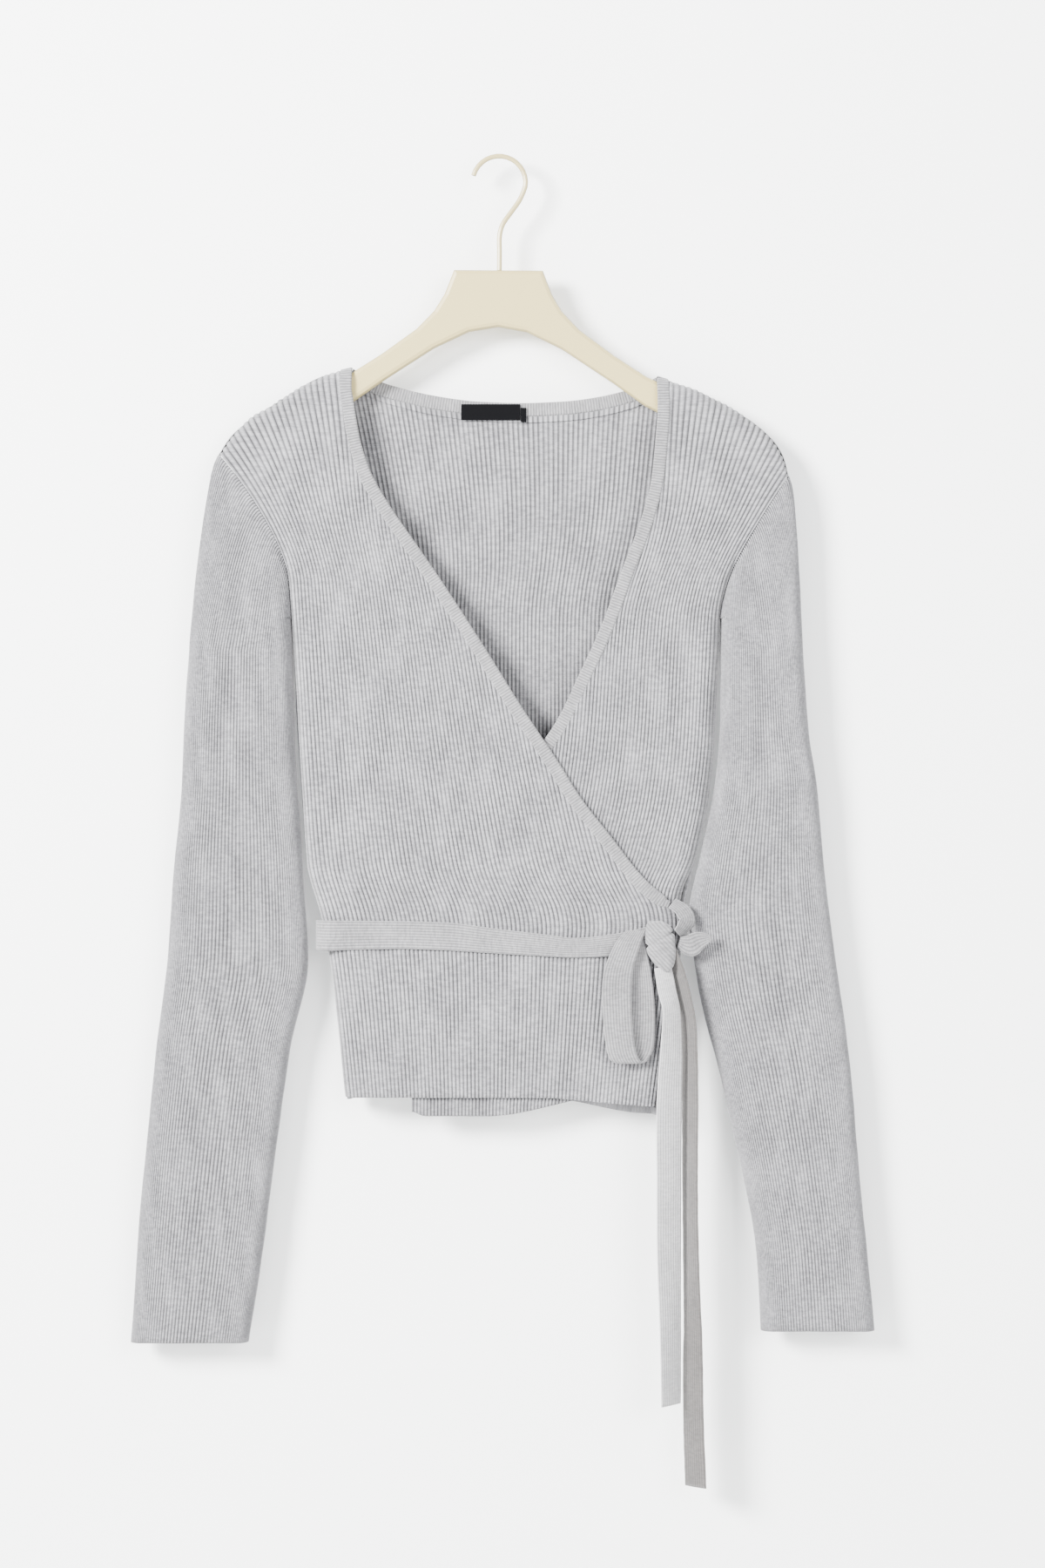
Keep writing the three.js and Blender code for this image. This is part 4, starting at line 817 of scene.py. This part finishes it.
# %%
BELT_FRONT = table("x top bottom", [
    (-112, -524.6, -545), (-70, -525, -544), (-36, -526, -545), (-4, -530, -547), (30, -534, -549),
    (52, -536.5, -550), (78, -534, -549), (102, -529, -547)])
BELT_MIDDLE, BELT_WIDTH, BELT_LIFT, TAPE_THICKNESS = -536.0, 20.0, 1.5, 1.4


def belt_base(x, z, column):
    folds = FRONT_FOLDS if column == "front" else BACK_FOLDS
    return panel_depth(column, folds, x, z, through(LEFT_SIDE, "x", z), through(RIGHT_SIDE, "x", z))


high, low = BELT_MIDDLE + BELT_WIDTH / 2, BELT_MIDDLE - BELT_WIDTH / 2
radius = FOLD_RADIUS + 1.2
left_centre = float(through(LEFT_SIDE, "x", high)) - 1.6 + radius
right_centre = float(through(RIGHT_SIDE, "x", high)) + 1.6 - radius
front_depth = float(through(DEPTHS, "front", BELT_MIDDLE)) + 1.6
back_depth = float(through(DEPTHS, "back", BELT_MIDDLE)) + 2.2


def round_fold(middle, radius, depth, first, last, count):
    """x and y of a belt round a side fold, from one angle to another; 270 is the front."""
    a = np.radians(np.linspace(first, last, count))
    return middle + radius * np.cos(a), depth * np.sin(a)


LAP = 1.6  # by which the front stretch lies over the round one at the left side
REACH, LAP_REACH = radius + 0.8, radius + 2.3  # of the two stretches, out from a fold's centre
fold_x, fold_y = round_fold(left_centre, LAP_REACH, front_depth + LAP, 178, 262, 26)
x = np.concatenate([fold_x, np.linspace(left_centre, 103, 230)])
top, bottom = through(BELT_FRONT, "top", x, "x"), through(BELT_FRONT, "bottom", x, "x")
depth = np.maximum(belt_base(x, top, "front"), belt_base(x, bottom, "front")) + BELT_LIFT
depth = lerp(front_depth + LAP, depth, smoothstep(x, left_centre, left_centre + 14))
depth[:len(fold_y)] = -fold_y
depth += 0.25 * waves(x, 0 * x, 6, 60, 31)
centre = np.stack([x, -depth, (top + bottom) / 2], -1)
lean = np.stack([0 * x, 0.03 * np.sin(x / 23), top - bottom], -1)
belt_front = tape_object("belt_across", centre, lean, top - bottom, TAPE_THICKNESS, 31, lines=10)

# %% [markdown]
# The second stretch starts under the first one, and goes round the back to the right side.

# %%
back_x = np.linspace(left_centre, right_centre, 90)[1:-1]
back_y = np.maximum(belt_base(back_x, high, "back"), belt_base(back_x, low, "back")) + 1.7
path = np.hstack([
    round_fold(left_centre, REACH, front_depth, 258, 180, 14),
    round_fold(left_centre, REACH, back_depth, 170, 95, 12),
    (back_x, np.maximum(back_y, back_depth - 0.4)),
    round_fold(right_centre, REACH, back_depth, 85, 10, 12),
    round_fold(right_centre, REACH, front_depth, 0, -55, 10)])
centre = np.stack([*path, np.full(path.shape[1], BELT_MIDDLE)], -1)
belt_back = tape_object("belt_round", centre, np.tile(UPWARDS, (len(centre), 1)), BELT_WIDTH, TAPE_THICKNESS,
                        32, lines=10)

# %% [markdown]
# ## The half bow
# One hanging loop, the knot, two folded ends and two tails. Each row of a ribbon gives its middle,
# its width and how far its face is turned from the front.

# %%
BOW_LOOP = [
    (93.6, -19.8, -531, 14, 6), (87.6, -21.5, -541, 18, 6), (81, -23, -562, 20, 6),
    (81, -23.6, -590, 20, 8), (83, -23.4, -610, 20, 8), (85.6, -22.6, -618.5, 20, 4),
    (88.6, -20, -621.5, 20, 2), (92, -17.2, -619.5, 20, 4), (96, -15.8, -610, 20, 6),
    (97.5, -15.4, -588, 19, 10), (97, -15.6, -562, 15, 8), (94.8, -15.8, -536, 8, 6)]
TAIL_LEFT = [
    (112, -19, -556, 12, 10), (115, -19.5, -572, 14, 24), (118, -20, -586, 15, 34), (118, -20, -612, 18, 32),
    (116.5, -19, -650, 20, 28), (116.5, -18, -700, 20, 30), (116.5, -17, -750, 20, 32),
    (117.5, -16.5, -800, 20, 40), (118, -16, -856, 20, 46)]
TAIL_RIGHT = [
    (116.5, -17, -541, 7, -40), (121.5, -15.8, -558, 14, -50), (126.4, -13.5, -578, 17, -56),
    (129.5, -12, -600, 19, -58), (130.5, -12, -650, 20, -60), (130.5, -11.5, -710, 20, -62),
    (131.5, -11, -770, 20, -60), (132.5, -11, -806, 19, -52), (132.5, -11, -830, 20, -50),
    (133, -11, -870, 20, -48), (134.5, -11, -913, 20, -46)]
TIE_CORNER = [(118.6, -14.5, -512.2, 11, 20), (125.5, -16, -517, 13, 26), (129, -17.3, -523.5, 13.5, 32),
              (126.5, -18.2, -528.5, 13.5, 36), (122, -18.6, -533, 9.5, 40)]
TIE_FOLD = [(123.1, -18, -539, 7.5, 90), (130.5, -18.5, -541, 16, 90), (136, -17.8, -538.5, 14, 90),
            (141, -17, -537, 9, 90), (145, -16.5, -536.2, 3.5, 90)]


def smooth_path(rows, steps):
    """A smooth path through rows of numbers, by Catmull and Rom's rule, evenly in row number."""
    rows = np.asarray(rows, float)
    padded = np.concatenate([[2 * rows[0] - rows[1]], rows, [2 * rows[-1] - rows[-2]]])
    t = np.linspace(0, len(rows) - 1, steps)
    i = np.minimum(t.astype(int), len(rows) - 2)
    s = (t - i)[:, None]
    a, b, c, d = (padded[i + k] for k in range(4))
    bend, twist = 2 * a - 5 * b + 4 * c - d, 3 * b - a - 3 * c + d
    return 0.5 * (2 * b + (c - a) * s + bend * s ** 2 + twist * s ** 3)


def ribbon(name, rows, steps, seed, lines=10, material=tape, leans=False):
    """A tape through rows of x, y, z, width and turn; a turn of 90 stands for an end laid level."""
    fine = smooth_path(rows, steps)
    angle = np.radians(fine[:, 4])
    across = np.stack([np.cos(angle), np.sin(angle), 0 * angle], -1)
    if rows[0][4] == 90:
        across = np.tile([0.0, 0.2, -1.0], (steps, 1))
    return tape_object(name, fine[:, :3], across, fine[:, 3], TAPE_THICKNESS, seed, lines=lines, turned=0.5,
                       material=material, leans=leans)


bow_loop = ribbon("bow_loop_tape", BOW_LOOP, 150, 41, leans=True)
# the left tail carries painted light and the right tail painted shade, in lighter and darker copies of the
# tape's colour
tail_left = ribbon("tail_left_tape", TAIL_LEFT, 150, 42, material=tape_painted_light)
tail_right = ribbon("tail_right_tape", TAIL_RIGHT, 170, 43, material=tape_painted_shade)
tie_corner = ribbon("tie_corner_tape", TIE_CORNER, 40, 44, lines=7)
tie_fold = ribbon("tie_fold_tape", TIE_FOLD, 40, 45, lines=6)

# %% [markdown]
# The knot is a wrapped form: rows from top to bottom of height, middle, half width and half depth, with
# slanting ribs and one crease where the tape passes over itself. The slanting ribs are partly shape and
# partly stripes of painted shade.

# %%
KNOT = [(-525, 107, 5, 1.2), (-528, 108.5, 8.4, 3), (-533, 109.8, 10, 4.2), (-539, 110.2, 10.2, 5),
        (-545, 110.8, 10, 5), (-551, 112, 8.4, 4.4), (-555.5, 113.6, 5.6, 3), (-558.5, 114.6, 2.4, 1.2)]
KNOT_Y = -19.5
rows = smooth_path(KNOT, 56)
angle = np.linspace(0, 2 * np.pi, 73)[:-1]
start = rows[:, 1:2] + rows[:, 2:3] * np.cos(angle)
crease = np.exp(-((rows[:, :1] + 541 - 0.47 * (start - 101.4)) / 1.2) ** 2)
lines = 1 - 0.05 * np.abs(np.sin(2.5 * angle[None, :] + rows[:, :1] * 0.16)) ** 3 - 0.2 * crease
x = rows[:, 1:2] + rows[:, 2:3] * np.cos(angle) * lines
y = KNOT_Y + rows[:, 3:4] * np.sin(angle) * lines
points = np.stack([x, y, np.broadcast_to(rows[:, :1], x.shape) + 0.6 * np.sin(angle)], -1)
# painted shade: slanting dark stripes where the wrap's furrows lie, given to the knot as its furrow value
wrap = ((1 - np.cos(rows[:, :1] * 2.0 + x * 2.1)) / 2) ** 1.5
knot_uv = np.stack([np.broadcast_to(angle * 9, x.shape), points[..., 2]], -1)
knot = mesh_object("bow_knot_tape", points, knot_uv, wrap * 0.8, tape, True)
close_ends(knot, points.shape[:2])

# %% [markdown]
# ## Label and hanger
# The label is a bare black ribbon sewn inside the back of the neck. The hanger is the CAD solid
# in a cream finish.

# %%
woven, tree, b = shader("black_ribbon", (0.003, 0.003, 0.0035), 0.95)
b.inputs["Specular IOR Level"].default_value = 0.04
object_relief(tree, b, "ShaderNodeTexWave", 0.3, 0.0002, wave_type="BANDS", bands_direction="Z", Scale=900.0)
cream, tree, b = shader("cream_plastic", (0.43, 0.353, 0.155), 0.42)
object_relief(tree, b, "ShaderNodeTexNoise", 0.08, 0.0003, Scale=420.0, Detail=2.0)
coated = shader("cream_wire", (0.40, 0.33, 0.155), 0.35)[0]
for name, material in dict(neck_label=woven, size_tab=woven, hanger_body=cream, hanger_hook=coated).items():
    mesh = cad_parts[name].data
    mesh.materials.clear()
    mesh.materials.append(material)
    print(name, len(mesh.polygons), "faces,", material.name)
for name in ("hanger_body", "hanger_hook"):
    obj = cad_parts[name]
    for polygon in obj.data.polygons:
        polygon.use_smooth = True
    obj.modifiers.new("edges", "EDGE_SPLIT").split_angle = math.radians(38)

# %% [markdown]
# ## Each piece in the frame
# Everything rides on one body. Each row gives the cut of what is made here, flat: width, then
# length. A tube's width is the mean way round it. The area of the two fronts is that of the
# ribbed surface, about a fifth more than the plain cut. The shoulder tapes stand for no CAD solid.

# %%
SHEETS = [
    (over, (0.31, 0.51), 0.103, ["front_over"], "knit", ["hanger_body"]),
    (under, (0.26, 0.51), 0.085, ["front_under"], "knit", ["hanger_body"]),
    (back, (0.40, 0.51), 0.142, ["back"], "knit", ["hanger_body"]),
    (left_sleeve, (0.17, 0.61), None, ["sleeve_left"], "knit", ["hanger_body"]),
    (right_sleeve, (0.17, 0.59), None, ["sleeve_right"], "knit", ["hanger_body"]),
    (over_band, (0.010, 0.44), None, ["band_over"], "tape", ["over_front"]),
    (under_band, (0.010, 0.41), None, ["band_under"], "tape", ["under_front"]),
    (back_band, (0.010, 0.215), None, ["band_back"], "tape", ["back_panel"]),
    (left_tape, (0.010, 0.12), None, [], "tape", ["back_panel"]),
    (right_tape, (0.010, 0.12), None, [], "tape", ["back_panel"]),
    (belt_front, (0.020, 0.235), None, ["belt_front"], "tape", ["over_front"]),
    (belt_back, (0.020, 0.29), None, ["belt_back"], "tape", ["back_panel"]),
    (bow_loop, (0.020, 0.19), None, ["bow_loop"], "tape", ["bow_knot_tape"]),
    (knot, (0.020, 0.050), None, ["bow_knot"], "tape", ["belt_across"]),
    (tail_left, (0.020, 0.30), None, ["tail_left"], "tape", ["bow_knot_tape"]),
    (tail_right, (0.020, 0.36), None, ["tail_right"], "tape", ["bow_knot_tape"]),
    (tie_corner, (0.013, 0.032), None, ["tie_corner"], "tape", ["bow_knot_tape"]),
    (tie_fold, (0.013, 0.024), None, ["tie_fold"], "tape", ["bow_knot_tape"]),
]
for obj, flat, area, nodes, slot, rests_on in SHEETS:
    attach(obj, "root")
    if nodes:
        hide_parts(*nodes)
    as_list(rests_on)
    print(obj.name, "is", flat, "m flat and stands for", nodes)

# %% [markdown]
# ## Wall, floor, light and camera
# A plain pale wall close behind the garment takes its soft shadow. The wall can't be seen from
# behind, so the back of the garment can be looked at too.

# %%
wall_paint, tree, b = shader("wall_paint", (0.95, 0.955, 0.945), 0.9)
object_relief(tree, b, "ShaderNodeTexNoise", 0.05, 0.002, Scale=9.0, Detail=6.0)
facing = node(tree, "ShaderNodeNewGeometry")
clear = node(tree, "ShaderNodeBsdfTransparent")
choose = node(tree, "ShaderNodeMixShader")
tree.links.new(facing.outputs["Backfacing"], choose.inputs[0])
tree.links.new(b.outputs[0], choose.inputs[1])
tree.links.new(clear.outputs[0], choose.inputs[2])
tree.links.new(choose.outputs[0], tree.nodes["Material Output"].inputs["Surface"])


def plane(name, corners, material):
    mesh = bpy.data.meshes.new(name)
    mesh.from_pydata(corners, [], [(0, 1, 2, 3)])
    mesh.materials.append(material)
    obj = bpy.data.objects.new(name, mesh)
    bpy.context.scene.collection.objects.link(obj)
    return obj


WALL_Y, FLOOR_Z, CEILING_Z, HALF = 0.019, -1.75, 2.5, 4
wall = plane("wall", [(-HALF, WALL_Y, FLOOR_Z), (HALF, WALL_Y, FLOOR_Z), (HALF, WALL_Y, CEILING_Z),
                      (-HALF, WALL_Y, CEILING_Z)], wall_paint)
wall.visible_shadow = wall.visible_diffuse = wall.visible_glossy = False
floor_paint = shader("floor_paint", (0.78, 0.78, 0.77), 0.8)[0]
plane("floor", [(-HALF, -HALF, FLOOR_Z), (HALF, -HALF, FLOOR_Z), (HALF, HALF, FLOOR_Z),
                (-HALF, HALF, FLOOR_Z)], floor_paint)


def area_light(name, at, towards, size, power):
    light = bpy.data.lights.new(name, "AREA")
    light.shape, light.size, light.energy = "DISK", size, power
    obj = bpy.data.objects.new(name, light)
    obj.location = at
    direction = np.array(towards) - np.array(at)
    obj.rotation_euler = Vector(direction).to_track_quat("-Z", "Y").to_euler()
    bpy.context.scene.collection.objects.link(obj)


MIDDLE = (0.016, 0.0, -0.431)
area_light("key", (-1.9, -2.0, 0.6), MIDDLE, 1.0, 465)
area_light("fill", (1.5, -2.7, 0.3), MIDDLE, 1.8, 120)
area_light("behind", (0.6, 2.4, 0.6), MIDDLE, 1.8, 90)
world = bpy.data.worlds.new("studio")
world.use_nodes = True
world.node_tree.nodes["Background"].inputs["Color"].default_value = (0.93, 0.95, 0.97, 1)
world.node_tree.nodes["Background"].inputs["Strength"].default_value = 1.9
bpy.context.scene.world = world
camera_data = bpy.data.cameras.new("camera")
camera_data.lens, camera_data.sensor_width = 73.3, 36
camera = bpy.data.objects.new("camera", camera_data)
camera.location = (MIDDLE[0], -2.2, MIDDLE[2])
camera.rotation_euler = (math.pi / 2, 0, 0)
bpy.context.scene.collection.objects.link(camera)
bpy.context.scene.camera = camera
